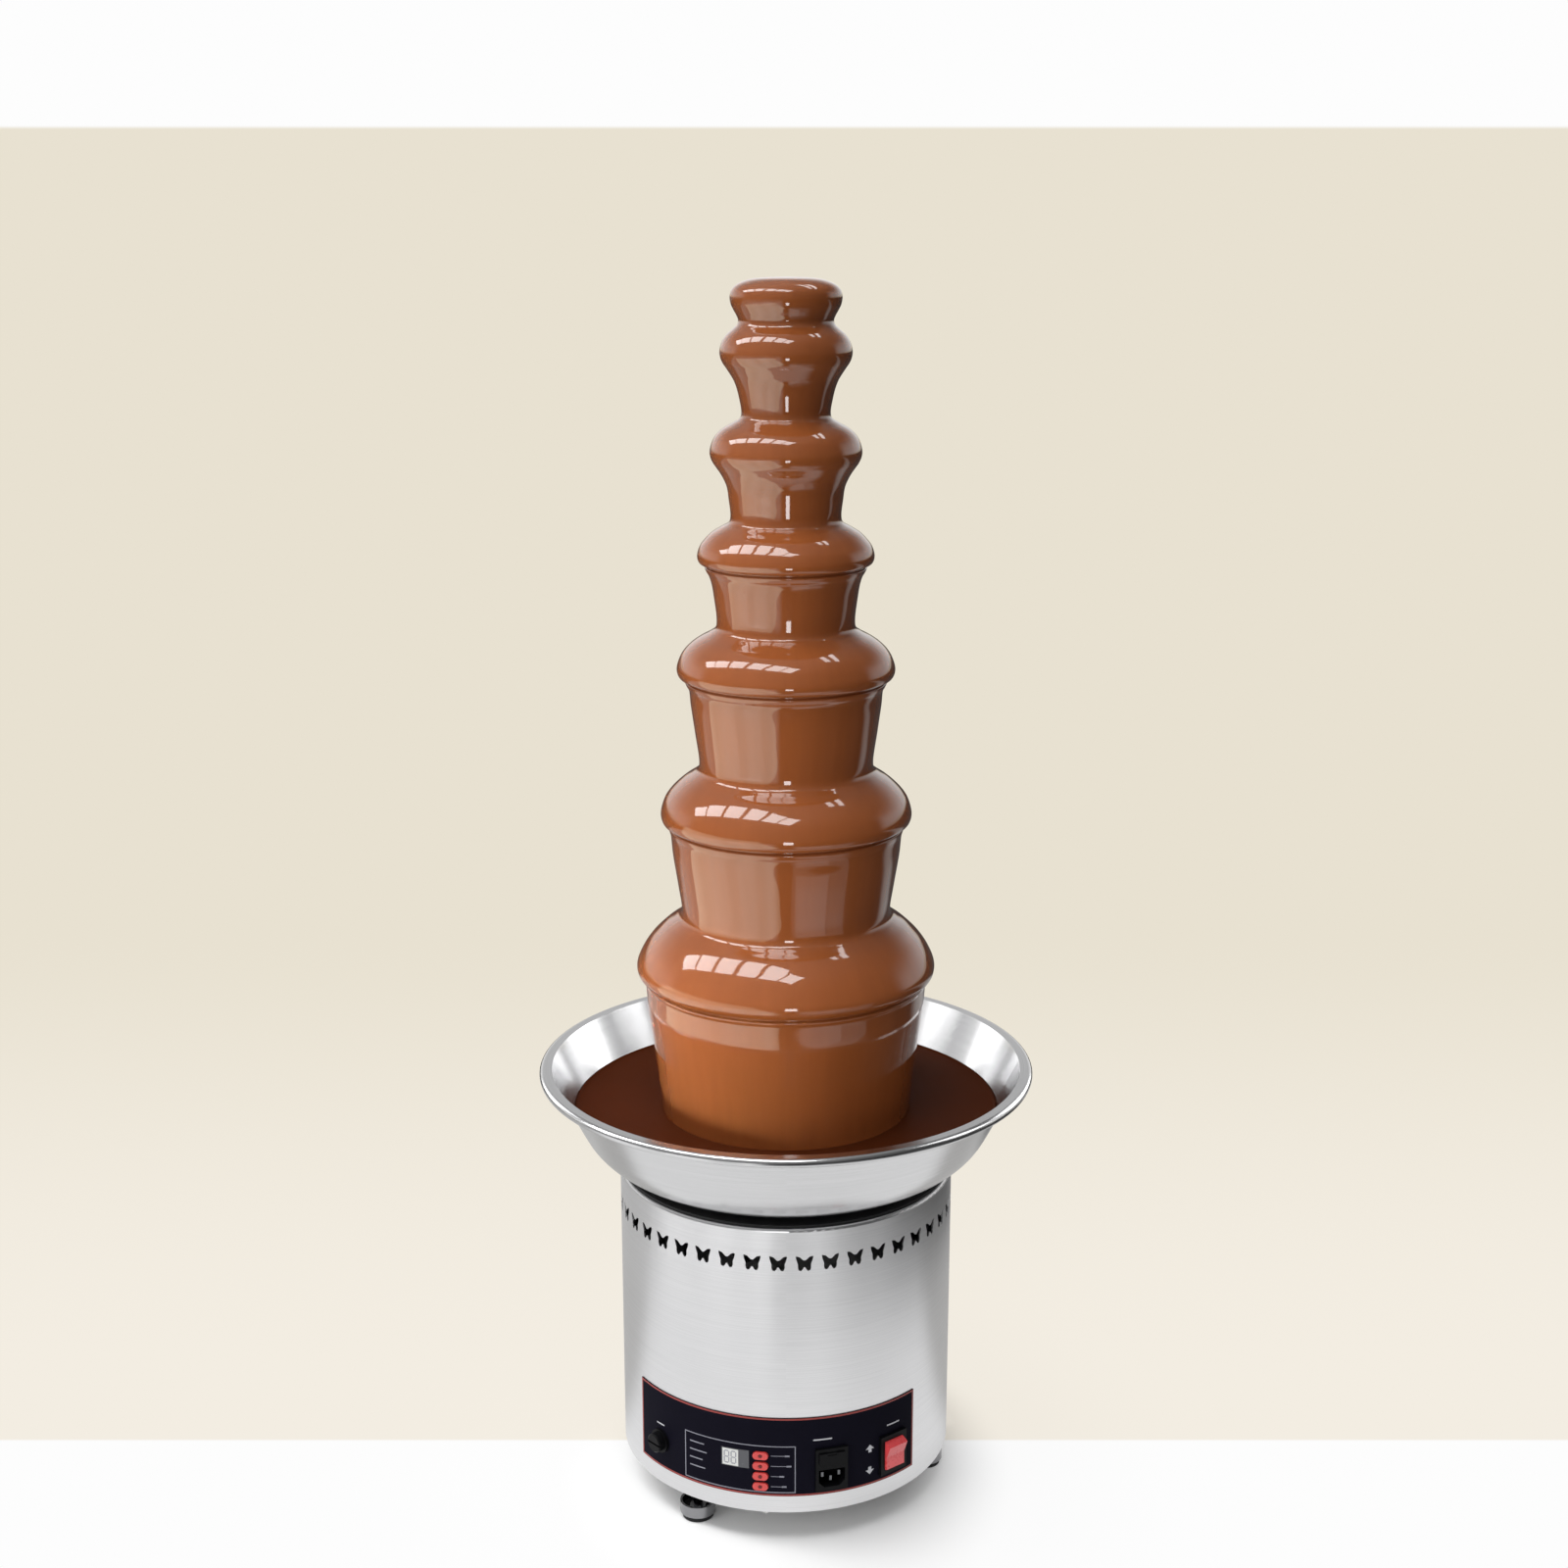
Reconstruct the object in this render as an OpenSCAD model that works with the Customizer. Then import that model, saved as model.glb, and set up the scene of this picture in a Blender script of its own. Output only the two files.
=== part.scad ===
// Catering chocolate fountain: round base with the drive, heated bowl, seven-level tower and auger.
// Millimetres, +Z up, origin on the floor under the tower's axis, front towards -Y.
// An azimuth is measured from the front, towards +X.

/* [Base] */
// Outer radius of the base shell
base_r = 139.5; // [134:0.5:150]
// Height of the base shell
base_h = 249; // [240:1:280]
// Height of the base shell's lower edge above the floor
foot_h = 28; // [26:1:36]
// Sheet thickness of the base shell
shell_t = 1.2; // [0.8:0.1:1.6]
// Radius of the shell's rounded top edge
edge_r = 2.5; // [2:0.1:4]
// Width of the shell's top flange inside the bowl's seat ring
flange_lip = 1.5; // [1:0.1:4]
// Width of the shell's turned-in bottom flange
bottom_flange = 7.5; // [6.5:0.1:8.5]
// Thickness of the bottom plate
plate_t = 2; // [1.5:0.1:3]
// Thickness of the deck plate under the bowl
deck_t = 2; // [1.5:0.1:3]
// Number of butterfly vents round the shell
vent_count = 42; // [30:1:48]
// Span of one butterfly vent
vent_w = 14; // [10:0.5:15]
// Drop of the vents' centre line below the shell's top edge
vent_drop = 29; // [24:1:50]
// Number of screws in the bottom plate
cover_screws = 6; // [4:1:8]

/* [Feet] */
// Distance from the shell's outside to a foot's axis
foot_inset = 18; // [17.5:0.5:28]
// Azimuth of the first foot
foot_turn = -37; // [-60:1:60]
// Outer radius of a foot's cup
cup_r = 14.8; // [13:0.1:17]
// Wall of a foot's cup
cup_t = 1.8; // [1.2:0.1:2.5]
// Height of a foot's cup
cup_h = 11.5; // [9:0.5:13]
// Thickness of the rubber sole
sole_t = 2.5; // [2:0.1:4]
// Radius of a foot's threaded stem
stem_r = 4; // [3:0.1:5]
// Travel of a foot on its thread
foot_travel = 12; // [6:1:15]

/* [Bowl] */
// Outer radius of the bowl's rolled rim
rim_r = 205; // [195:1:220]
// Depth of the bowl over its outside
bowl_depth = 79.5; // [70:0.5:100]
// Radius at which the bowl's wall would meet its underside
bowl_foot_r = 155; // [153:0.5:158]
// Sheet thickness of the bowl
bowl_t = 1.2; // [0.8:0.1:2]
// Radius of the bend between underside and wall
bowl_bend = 55; // [50:0.5:58]
// Radius of the rolled rim
lip_r = 3.6; // [3:0.1:5]
// Width of the rim over its roll
lip_w = 9; // [8.5:0.1:14]
// Height of the black seat ring under the bowl
gasket_h = 8; // [7.5:0.5:12]
// Radial width of the seat ring under the bowl
gasket_w = 8; // [6:0.5:9]
// Thickness of the seat ring's ledge over the shell's flange
ledge_t = 2.5; // [1.5:0.1:4]
// Depth of the chocolate in the bowl
pool_depth = 42; // [30:1:55]
// Radius of the circle of the bowl's studs
stud_ring_r = 48; // [46:0.5:49]
// Radius of a bowl stud
stud_r = 3; // [2.5:0.1:3.5]
// Inner radius of the heater
heater_in_r = 56; // [54:0.5:62]
// Distance from the heater to the bowl's seat ring
heater_margin = 6.5; // [3:0.5:12]
// Thickness of the heater
heater_t = 5; // [3:0.5:6]

/* [Drive] */
// Radius of the drive shaft
shaft_r = 6; // [5:0.1:7]
// Tooth module of the gears
gear_m = 1.25; // [1.2:0.01:1.3]
// Teeth of the gear on the drive shaft
drive_teeth = 60; // [56:1:60]
// Teeth of the idler's wheel
wheel_teeth = 48; // [40:1:50]
// Teeth of the idler's pinion and of the motor's pinion
pinion_teeth = 12; // [12:1:14]
// Pressure angle of the teeth
pressure_a = 25; // [24:0.5:26]
// Play between two meshing teeth, along the pitch circle
tooth_play = 0.3; // [0.2:0.05:0.4]
// Thickness of the drive gear
drive_gear_t = 8; // [6:0.5:9]
// Thickness of the idler's wheel
wheel_t = 6; // [5:0.5:7]
// Radius of the idler's pin
idler_pin_r = 3; // [2.5:0.1:3.5]
// Radius of the two gear plates
gear_plate_r = 75; // [74:0.5:80]
// Thickness of a gear plate
gear_plate_t = 2.5; // [2:0.1:3.5]
// Distance between the gear plates
gear_space = 26; // [26:0.5:30]
// Distance from the deck plate to the upper gear plate
hanger_h = 19; // [14:0.5:24]
// Radius of a pillar of the gear frame
pillar_r = 4.5; // [4:0.1:5]
// Radius of the frame's bolts
bolt_r = 2.5; // [2:0.1:2.8]
// Height of the motor's lamination stack
stack_h = 22; // [18:1:30]
// Radius of the rotor
rotor_r = 14.6; // [13:0.1:16]
// Air gap between rotor and stack
air_gap = 0.7; // [0.5:0.05:1]
// Radius of the rotor's shaft
rotor_shaft_r = 2.5; // [2:0.1:3]
// Length of the posts between a motor bracket and the stack
bracket_post = 13; // [10:0.5:16]

/* [Panel] */
// Azimuth of the panel's left edge
panel_left = -58.6; // [-70:0.1:-57.5]
// Azimuth of the panel's right edge
panel_right = 48.4; // [47:0.1:60]
// Height of the panel's lower edge above the shell's lower edge
panel_rise = 15; // [8:0.5:16]
// Height of the panel
panel_h = 70; // [64:0.5:90]
// Thickness of the panel film
panel_t = 0.6; // [0.3:0.05:1]
// Height of the panel's parts above the shell's lower edge
panel_mid = 38; // [36:0.5:42]
// Azimuth of the control board
board_az = -14; // [-16:0.5:-12]
// Distance from the shell's outside to the control board
board_depth = 21.5; // [19:0.5:26]
// Width of a push button
button_w = 12.6; // [10:0.1:13]
// Height of a push button
button_h = 6.6; // [5:0.1:7]
// Distance between neighbouring buttons
button_pitch = 9.2; // [8.5:0.1:9.5]
// Travel of a push button
button_travel = 0.8; // [0.4:0.1:1.2]
// Width of the display
display_w = 23.4; // [18:0.1:24]
// Height of the display
display_h = 16; // [12:0.5:24]
// Azimuth of the mains inlet
inlet_az = 15.1; // [13.5:0.1:17]
// Azimuth of the panel fuse
fuse_az = -47.3; // [-50:0.1:-44]
// Radius of the fuse cap
fuse_cap_r = 8; // [6:0.1:9]
// Azimuth of the mains switch
rocker_az = 38.3; // [36.5:0.1:40]
// Tilt of the rocker from its middle to either side
rocker_tilt = 10; // [6:0.5:12]

/* [Tower] */
// Outer radius of the tower's tube
tube_r = 29; // [27:0.5:30]
// Wall of the tower's tube
tube_t = 1.5; // [1:0.1:2]
// Sheet thickness of the tiers
tier_t = 1.2; // [0.8:0.1:1.6]
// Rim radius of tier 1, the lowest
tier_1_r = 119; // [112:0.5:125]
// Rim radius of tier 2
tier_2_r = 98; // [93:0.5:105]
// Rim radius of tier 3
tier_3_r = 84; // [79:0.5:89]
// Rim radius of tier 4
tier_4_r = 66.5; // [63:0.5:71]
// Rim radius of tier 5
tier_5_r = 56; // [53:0.5:59]
// Rim radius of tier 6
tier_6_r = 48; // [46:0.5:51]
// Rim radius of the crown
crown_r = 40; // [39:0.5:42]
// Height of tier 1's rim above the bowl's floor
tier_1_h = 167; // [155:1:175]
// Rise from tier 1's rim to tier 2's rim
tier_2_rise = 127; // [117:1:136]
// Rise from tier 2's rim to tier 3's rim
tier_3_rise = 119; // [110:1:128]
// Rise from tier 3's rim to tier 4's rim
tier_4_rise = 91; // [84:1:98]
// Rise from tier 4's rim to tier 5's rim
tier_5_rise = 80; // [74:1:86]
// Rise from tier 5's rim to tier 6's rim
tier_6_rise = 77; // [71:1:83]
// Rise from tier 6's rim to the crown's rim
crown_lift = 40; // [38:1:46]
// Slope of the tiers' domes
dome_slope = 32; // [29:0.5:34]
// Shoulder radius of the lowest tier
shoulder_low = 20.5; // [18:0.5:24]
// Shoulder radius of the highest tier
shoulder_high = 15; // [13:0.5:16]
// Height of the straight skirt at a tier's rim
skirt_h = 4; // [2:0.5:5]
// Radius of the auger's core
core_r = 9; // [8:0.1:10]
// Pitch of the auger's flight
flight_pitch = 45; // [38:1:60]
// Thickness of the auger's flight along the axis
flight_t = 2.4; // [2:0.1:3]
// Running gap between flight and tube
flight_gap = 0.9; // [0.6:0.1:1.5]

/* [Chocolate] */
// Thickness of the chocolate on a dome
film_t = 3.5; // [2.5:0.1:4]
// Thickness of a falling curtain
curtain_t = 2.4; // [1.8:0.1:3]
// Inward lean of a curtain per unit of fall
curtain_lean = 0.14; // [0.1:0.01:0.16]
// Height from a tier's rim to the start of its curtain
drop_h = 16; // [15:0.5:18]
// Radius of the rounded edge over the lowest curtain
bead_low = 6; // [5:0.5:7]
// Radius of the rounded edge over the highest curtain
bead_high = 9.5; // [8:0.5:10]

/* [Clearances] */
// Gap between pieces that are only seated together
seat_gap = 0.1; // [0.05:0.01:0.15]
// Radial gap of a shaft or pin in its bore
run_gap = 0.05; // [0.02:0.01:0.08]
// Gap between a moving control and its opening
move_gap = 0.35; // [0.3:0.05:0.5]
// Gap between a piece of chocolate and its neighbour
liquid_gap = 0.3; // [0.2:0.05:0.4]

/* [Hidden] */
$fn = 72;

steel = "gainsboro";
dark_steel = "dimgray";
black = [0.09, 0.09, 0.1];
red = "crimson";
bronze = "darkgoldenrod";
milk_chocolate = "sienna";

// Levels of the base and bowl
base_top = foot_h + base_h;
deck_top = base_top - shell_t;
deck_under = deck_top - deck_t;
plate_under = foot_h + shell_t;
plate_top = plate_under + plate_t;
bowl_under = base_top + gasket_h;
bowl_floor = bowl_under + bowl_t;
rim_z = bowl_under + bowl_depth;
pool_z = bowl_floor + pool_depth;

// Feet and their nuts
foot_ring_r = base_r - foot_inset;
nut_r = stem_r * 1.87;
nut_h = stem_r * 1.6;
cup_web_t = 2;
stem_hex_h = 4.5;
screw_r = 2;
screw_head_r = 3.4;
screw_head_h = 2.4;
screw_tail = 4;
cover_screw_r = base_r - shell_t - bottom_flange / 2;
slot_size = [20, 5];
slot_rings = [40, 66];

// Bowl section: angle of the wall and centre of the bend
wall_a = atan2(bowl_depth, rim_r - lip_w - bowl_foot_r);
bend_c = [bowl_foot_r - bowl_bend * tan(wall_a / 2), bowl_under + bowl_bend];
gasket_out_r = bend_c.x - 1;
gasket_in_r = gasket_out_r - gasket_w;
flange_in_r = gasket_in_r - flange_lip;
heater_out_r = gasket_in_r - heater_margin;

// Sealed passage of the shaft through the bowl
hub_flange_r = 22;
hub_flange_t = 3;
hub_neck_r = 13;
bush_t = 3;
bush_r = shaft_r + bush_t;
seal_r = bush_r + 1.5;
seal_h = 5;
hub_end = deck_under - 4;
hub_nut_r = 20.5;
hub_top = bowl_floor + hub_flange_t;

// Gear frame: levels, axes and pillars
upper_top = deck_under - hanger_h;
upper_under = upper_top - gear_plate_t;
lower_top = upper_under - gear_space;
lower_under = lower_top - gear_plate_t;
bush_flange_t = 2;
drive_axis_gap = gear_m * (drive_teeth + pinion_teeth) / 2 + 0.1;
motor_axis_gap = gear_m * (wheel_teeth + pinion_teeth) / 2 + 0.1;
idler_at = [0, drive_axis_gap];
motor_at = [-motor_axis_gap, drive_axis_gap];
plate_at = motor_at / 2;
pillar_ring_r = gear_plate_r - pillar_r - 2.5;
pillars_at = [for (a = [0:90:270]) plate_at + pillar_ring_r * [cos(a), sin(a)]];
wheel_z = lower_top + 3.5;
drive_gear_z = upper_under - 2 - drive_gear_t;
bolt_grip = 12;

// Motor levels and plan
strap_t = 2;
stack_top = lower_under - strap_t - bracket_post;
stack_under = stack_top - stack_h;
strap_under = stack_under - bracket_post - strap_t;
stack_half = rotor_r + air_gap + 11;
leg_x = stack_half + 8;
leg_w = 11;
window_h = stack_half - 8;
strap_hole = stack_half - 4.5;
strap_w = 16;

// Panel: surfaces and places of its parts
panel_z = foot_h + panel_rise;
parts_z = foot_h + panel_mid;
film_r = base_r + seat_gap + panel_t;
board_y = base_r - board_depth;
board_t = 1.6;
board_size = [76, 56];
board_z = parts_z + 2;
post_r = 2.5;
tact_h = 5;
button_x = 13.6;
button_top_z = parts_z + 13.2;
button_proud = 1.6;
button_flange = 1;
button_edge_x = button_x + button_w / 2 + button_flange;
button_flange_y = sqrt(pow(base_r - shell_t, 2) - pow(button_edge_x, 2)) - move_gap;
display_x = -7.6;
display_z = parts_z + 8.5;
inlet_half = [13.5, 18.8];
inlet_wall = 1.5;
socket_half = [11, 7.8];
socket_z = -7.4;
socket_depth = 16;
drawer_half = [10.8, 4.8];
drawer_z = 10.6;
drawer_depth = 21;
face_t = 2.6;
fuse_z = parts_z + 1.4;
fuse_barrel_r = 6.2;
fuse_bore_r = 4.5;
rocker_half = [9.4, 12.6];
frame_half = [13.6, 17.2];
rocker_wall = 1.3;
pivot_depth = 2.5;
pivot_r = 1.6;
pivot_half = rocker_half.x + rocker_wall;

// Tower levels and the auger
tier_radii = [tier_1_r, tier_2_r, tier_3_r, tier_4_r, tier_5_r, tier_6_r];
top_tier = len(tier_radii) - 1;
rises = [tier_1_h, tier_2_rise, tier_3_rise, tier_4_rise, tier_5_rise, tier_6_rise, crown_lift];
tier_levels = [for (i = [0:top_tier]) level(i)];
crown_z = level(top_tier + 1);
crown_rise = 13;
tube_top = crown_z - crown_rise - 1;
tower_foot_r = 40;
tower_foot_t = 2;
intake_w = 24;
intake_z = 5;
intake_h = 18;
collar_h = 16;
collar_t = 2;
collar_in_r = tube_r + seat_gap;
tier_screw_l = 5;
core_under = hub_top + 1;
core_top = tube_top - 3;
hex_top = hub_top + 32;
flight_r = tube_r - tube_t - flight_gap;
flight_under = hub_top + 4;
flight_top = core_top - 4;
flight_turns = (flight_top - flight_under) / flight_pitch;
slices_per_turn = 20;

function level(i) = i < 0 ? bowl_floor : level(i - 1) + rises[i];
function mix(a, b, k) = a + (b - a) * k;
function shoulder(i) = mix(shoulder_low, shoulder_high, i / top_tier);
function bead(i) = mix(bead_low, bead_high, i / top_tier);

// Height of a tier's dome at radius r, its skin grown by g
function dome_z(i, r, g) =
  tier_levels[i] + (shoulder(i) + g - (r - tier_radii[i] + shoulder(i)) * sin(dome_slope)) / cos(dome_slope);

// A curtain hangs from radius r at height top and lands on dome i, or in the pool for dome -1
function landing(r, top, i) =
  i < 0
    ? pool_z + liquid_gap
    : (dome_z(i, 0, film_t + liquid_gap) - tan(dome_slope) * (r - curtain_t - curtain_lean * top))
      / (1 + tan(dome_slope) * curtain_lean);
function foot_r(r, top, i) = r - curtain_lean * (top - landing(r, top, i));
function curtain_r(i) = i > top_tier ? crown_r + film_t - bead_high / 2 : tier_radii[i] + film_t - bead(i);
function curtain_top(i) = i > top_tier ? crown_z - drop_h / 2 : tier_levels[i] - drop_h;
function film_in_r(i) = foot_r(curtain_r(i + 1), curtain_top(i + 1), i) - curtain_t - 1;

// Involute of the pressure angle, in degrees
function inv(a) = tan(a) * 180 / PI - a;
function tooth_half(n, r) =
  let (pitch = gear_m * n / 2, base = pitch * cos(pressure_a))
  90 / n - tooth_play * 90 / PI / pitch + inv(pressure_a) - inv(acos(min(1, base / r)));
function on_circle(r, a) = r * [cos(a), sin(a)];

// Outline of a spur gear with a tooth on the +X axis
function gear_points(n) =
  let (pitch = gear_m * n / 2, tip = pitch + gear_m, root = pitch - 1.25 * gear_m)
  let (low = max(root, pitch * cos(pressure_a)), radii = [low, (low + tip) / 2, tip])
  [for (k = [0:n - 1])
    let (a = 360 * k / n)
    each concat(
      [on_circle(root - 0.01, a - tooth_half(n, low))],
      [for (r = radii) on_circle(r, a - tooth_half(n, r))],
      [for (j = [2:-1:0]) on_circle(radii[j], a + tooth_half(n, radii[j]))],
      [on_circle(root - 0.01, a + tooth_half(n, low))]
    )];

// Shared placing and shapes

module at_azimuth(a) {
  rotate([0, 0, a]) children();
}

// Extrudes a drawing of the front view from depth y0 out to depth y1 in front of the axis
module front(y0, y1) {
  translate([0, -y0, 0]) rotate([90, 0, 0]) linear_extrude(y1 - y0) children();
}

module ring(r_in, r_out, z0, z1) {
  translate([0, 0, z0]) difference() {
    cylinder(r = r_out, h = z1 - z0);
    translate([0, 0, -1]) cylinder(r = r_in, h = z1 - z0 + 2);
  }
}

module disc(r, z0, z1) {
  translate([0, 0, z0]) cylinder(r = r, h = z1 - z0);
}

module box2(half, z = 0, grow = 0) {
  translate([0, z]) square([2 * (half.x + grow), 2 * (half.y + grow)], center = true);
}

module oval(w, h) {
  square([w - h, h], center = true);
  for (s = [-1, 1]) translate([s * (w - h) / 2, 0]) circle(d = h);
}

module hex_nut(r, bore, z0, h) {
  translate([0, 0, z0]) difference() {
    cylinder(r = r, h = h, $fn = 6);
    translate([0, 0, -1]) cylinder(r = bore, h = h + 2);
  }
}

module at_feet() {
  for (k = [0:2]) at_azimuth(foot_turn + 120 * k) translate([0, -foot_ring_r, 0]) children();
}

module at_cover_screws() {
  for (k = [0:cover_screws - 1])
    at_azimuth(foot_turn + 360 * (k + 0.5) / cover_screws) translate([0, -cover_screw_r, 0]) children();
}

module at_studs() {
  for (a = [45:90:315]) rotate([0, 0, a]) translate([stud_ring_r, 0, 0]) children();
}

module at_pillars() {
  for (p = pillars_at) translate([p.x, p.y, 0]) children();
}

module at_motor() {
  translate([motor_at.x, motor_at.y, 0]) children();
}

module at_motor_screws() {
  at_motor() for (s = [-1, 1]) translate([0, s * strap_hole, 0]) children();
}

module gear(n, z, h) {
  translate([0, 0, z]) linear_extrude(h) polygon(gear_points(n));
}

// Base

module butterfly_2d() {
  scale(vent_w / 14.2) for (s = [0, 1]) mirror([s, 0])
    polygon([[0, 2.6], [1, 2.8], [4, 5.7], [6.5, 6.4], [7.1, 5.9], [6.6, 3.2], [5.4, -0.2], [5.2, -1.2],
      [5.4, -3], [4.9, -5.4], [3.9, -6.3], [2.6, -6.4], [1.5, -5.2], [0.5, -3.2], [0, -3.4]]);
}

module panel_openings(grow) {
  at_azimuth(inlet_az) front(base_r - 5, film_r + 1)
    translate([0, parts_z]) box2(inlet_half, 0, grow - inlet_wall);
  at_azimuth(rocker_az) front(base_r - 9, film_r + 1)
    translate([0, parts_z]) box2(rocker_half + [1, 1] * rocker_wall, 0, grow + move_gap);
  at_azimuth(fuse_az) front(base_r - 4, film_r + 1) translate([0, fuse_z]) circle(fuse_barrel_r + grow);
  at_azimuth(board_az) {
    front(base_r - 8, film_r + 1)
      translate([display_x, display_z]) square([display_w, display_h] + [2, 2] * grow, center = true);
    for (k = [0:3]) front(base_r - 8, film_r + 1)
      translate([button_x, button_top_z - k * button_pitch])
        oval(button_w + 2 * move_gap, button_h + 2 * move_gap);
  }
}

module can_2d(inset) {
  r = base_r - inset;
  z = base_top - inset;
  bend = edge_r - inset;
  translate([0, foot_h + inset]) square([r, z - foot_h - inset - bend]);
  translate([0, foot_h + inset]) square([r - bend, z - foot_h - inset]);
  translate([r - bend, z - bend]) circle(bend);
}

module base_shell() {
  color(steel) difference() {
    union() {
      rotate_extrude() difference() {
        can_2d(0);
        can_2d(shell_t);
        translate([0, base_top - 5]) square([flange_in_r, 10]);
        translate([0, foot_h - 5]) square([base_r - shell_t - bottom_flange, 10]);
      }
      intersection() {
        board_posts(board_y);
        disc(base_r - shell_t / 2, foot_h, base_top);
      }
    }
    for (k = [0:vent_count - 1]) at_azimuth(360 * (k + 0.7) / vent_count)
      front(base_r - 6, base_r + 2) translate([0, base_top - vent_drop]) butterfly_2d();
    panel_openings(0.2);
    at_cover_screws() disc(screw_r + seat_gap, foot_h - 1, plate_under + 1);
  }
}

module board_posts(y) {
  at_azimuth(board_az) for (x = [-1, 1], z = [-1, 1])
    front(y, base_r)
      translate([x * (board_size.x / 2 - 5), board_z + z * (board_size.y / 2 - 5)]) circle(post_r);
}

module bottom_plate() {
  color(steel) difference() {
    disc(base_r - shell_t - seat_gap * 3, plate_under, plate_top);
    at_feet() disc(stem_r + run_gap, plate_under - 1, plate_top + 1);
    at_cover_screws() disc(screw_r + seat_gap, plate_under - 1, plate_top + 1);
    for (a = [0:30:330], r = slot_rings) rotate([0, 0, a]) translate([r, 0, plate_under - 1])
      linear_extrude(plate_t + 2) oval(slot_size.x, slot_size.y);
  }
}

module bottom_screws() {
  color(steel) at_cover_screws() {
    disc(screw_head_r, foot_h - screw_head_h, foot_h);
    disc(screw_r, foot_h, plate_top + screw_tail);
  }
}

module foot_nuts() {
  color(steel) at_feet() {
    hex_nut(nut_r, stem_r + run_gap, plate_under - nut_h, nut_h);
    hex_nut(nut_r, stem_r + run_gap, plate_top, nut_h);
  }
}

module at_foot(k) {
  at_azimuth(foot_turn + 120 * (k - 1)) translate([0, -foot_ring_r, 0]) children();
}

module pad_pegs(r, z0, z1) {
  for (a = [0:90:270]) rotate([0, 0, a]) translate([(nut_r + cup_r) / 2, 0, 0]) disc(r, z0, z1);
}

module foot_cup(k) {
  web_top = sole_t + cup_web_t;
  color(steel) at_foot(k) difference() {
    union() {
      rotate_extrude() difference() {
        translate([0, sole_t]) polygon([[0, 0], [cup_r - 2, 0], [cup_r, 2], [cup_r, cup_h], [0, cup_h]]);
        translate([0, web_top]) square([cup_r - cup_t, cup_h]);
      }
      translate([0, 0, web_top]) cylinder(r = nut_r, h = stem_hex_h, $fn = 6);
      disc(stem_r, web_top, plate_top + nut_h + foot_travel);
    }
    pad_pegs(2, sole_t - 1, web_top + 1);
  }
}

module foot_pad(k) {
  web_top = sole_t + cup_web_t;
  color(black) at_foot(k) {
    disc(cup_r - 2, 0, sole_t);
    ring(nut_r + 0.8, cup_r - cup_t - seat_gap, web_top, web_top + 3.5);
    pad_pegs(2 - seat_gap, sole_t - 0.5, web_top + 0.5);
  }
}

// Bowl and its carrier

module deck_plate() {
  color(steel) difference() {
    union() {
      disc(base_r - edge_r - seat_gap * 3, deck_under, deck_top);
      at_pillars() disc(pillar_r, upper_top, deck_under);
    }
    disc(hub_neck_r + 1, deck_under - 1, deck_top + 1);
    at_studs() disc(stud_r + seat_gap, deck_under - 1, deck_top + 1);
    at_pillars() disc(bolt_r + seat_gap, upper_top - 1, upper_top + bolt_grip + 1);
  }
}

module bowl_gasket() {
  ledge_r = base_r - edge_r;
  color(black) rotate_extrude()
    polygon([[gasket_in_r, base_top], [ledge_r, base_top], [ledge_r, base_top + ledge_t],
      [gasket_out_r, base_top + ledge_t], [gasket_out_r, bowl_under], [gasket_in_r, bowl_under]]);
}

// Half section of the space that the bowl's outside encloses, its skin moved in by e
module bowl_2d(e, top) {
  bend = bowl_bend - e;
  tangent = bend_c + bend * [sin(wall_a), -cos(wall_a)];
  rise = top - tangent.y;
  polygon([[0, bowl_under + e], [bend_c.x, bowl_under + e], bend_c, tangent,
    [tangent.x + rise / tan(wall_a), top], [0, top]]);
  intersection() {
    translate(bend_c) circle(bend);
    translate([bend_c.x, bend_c.y - bend]) square(bend);
  }
}

module bowl() {
  color(steel) difference() {
    union() {
      rotate_extrude() {
        difference() {
          bowl_2d(0, rim_z);
          bowl_2d(bowl_t, rim_z + 1);
        }
        translate([rim_r - lip_w - bowl_t, rim_z - bowl_t]) square([lip_w + bowl_t - lip_r, bowl_t]);
        translate([rim_r - lip_r, rim_z - lip_r]) circle(lip_r);
      }
      at_studs() disc(stud_r, deck_under - 9, bowl_under + bowl_t / 2);
    }
    disc(hub_neck_r + seat_gap, bowl_under - 1, bowl_floor + 1);
  }
}

module bowl_nuts() {
  color(dark_steel) {
    at_studs() hex_nut(stud_r * 1.9, stud_r + run_gap, deck_under - 5, 5);
    hex_nut(hub_nut_r, hub_neck_r + run_gap, bowl_under - 6, 6);
  }
}

module heater_plate() {
  color("lightslategray") ring(heater_in_r, heater_out_r, bowl_under - heater_t, bowl_under);
  color("lightslategray") for (s = [-1, 1])
    translate([heater_out_r - 14, s * 5, bowl_under - heater_t]) mirror([0, 0, 1]) cylinder(r = 1.5, h = 1.5);
}

module bowl_thermostat() {
  color(bronze) translate([0, -40, 0]) {
    disc(6, deck_top, bowl_under - 3);
    disc(8, bowl_under - 3, bowl_under);
  }
}

// Drive through the bowl

module shaft_hub() {
  color(steel) difference() {
    union() {
      disc(hub_flange_r, bowl_floor, hub_top);
      disc(hub_neck_r, hub_end, bowl_floor);
    }
    disc(bush_r + run_gap, hub_end - 1, hub_top + 1);
    disc(seal_r + seat_gap, hub_top - seal_h, hub_top + 1);
  }
}

module shaft_seal() {
  color(black) ring(shaft_r + run_gap, seal_r, hub_top - seal_h, hub_top);
}

module shaft_bushes() {
  color(bronze) {
    ring(shaft_r + run_gap, bush_r, hub_end, hub_top - seal_h);
    for (z = [lower_top, upper_top]) {
      ring(shaft_r + run_gap, bush_r, z - gear_plate_t, z);
      ring(shaft_r + run_gap, bush_r + 2, z, z + bush_flange_t);
    }
  }
}

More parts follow.
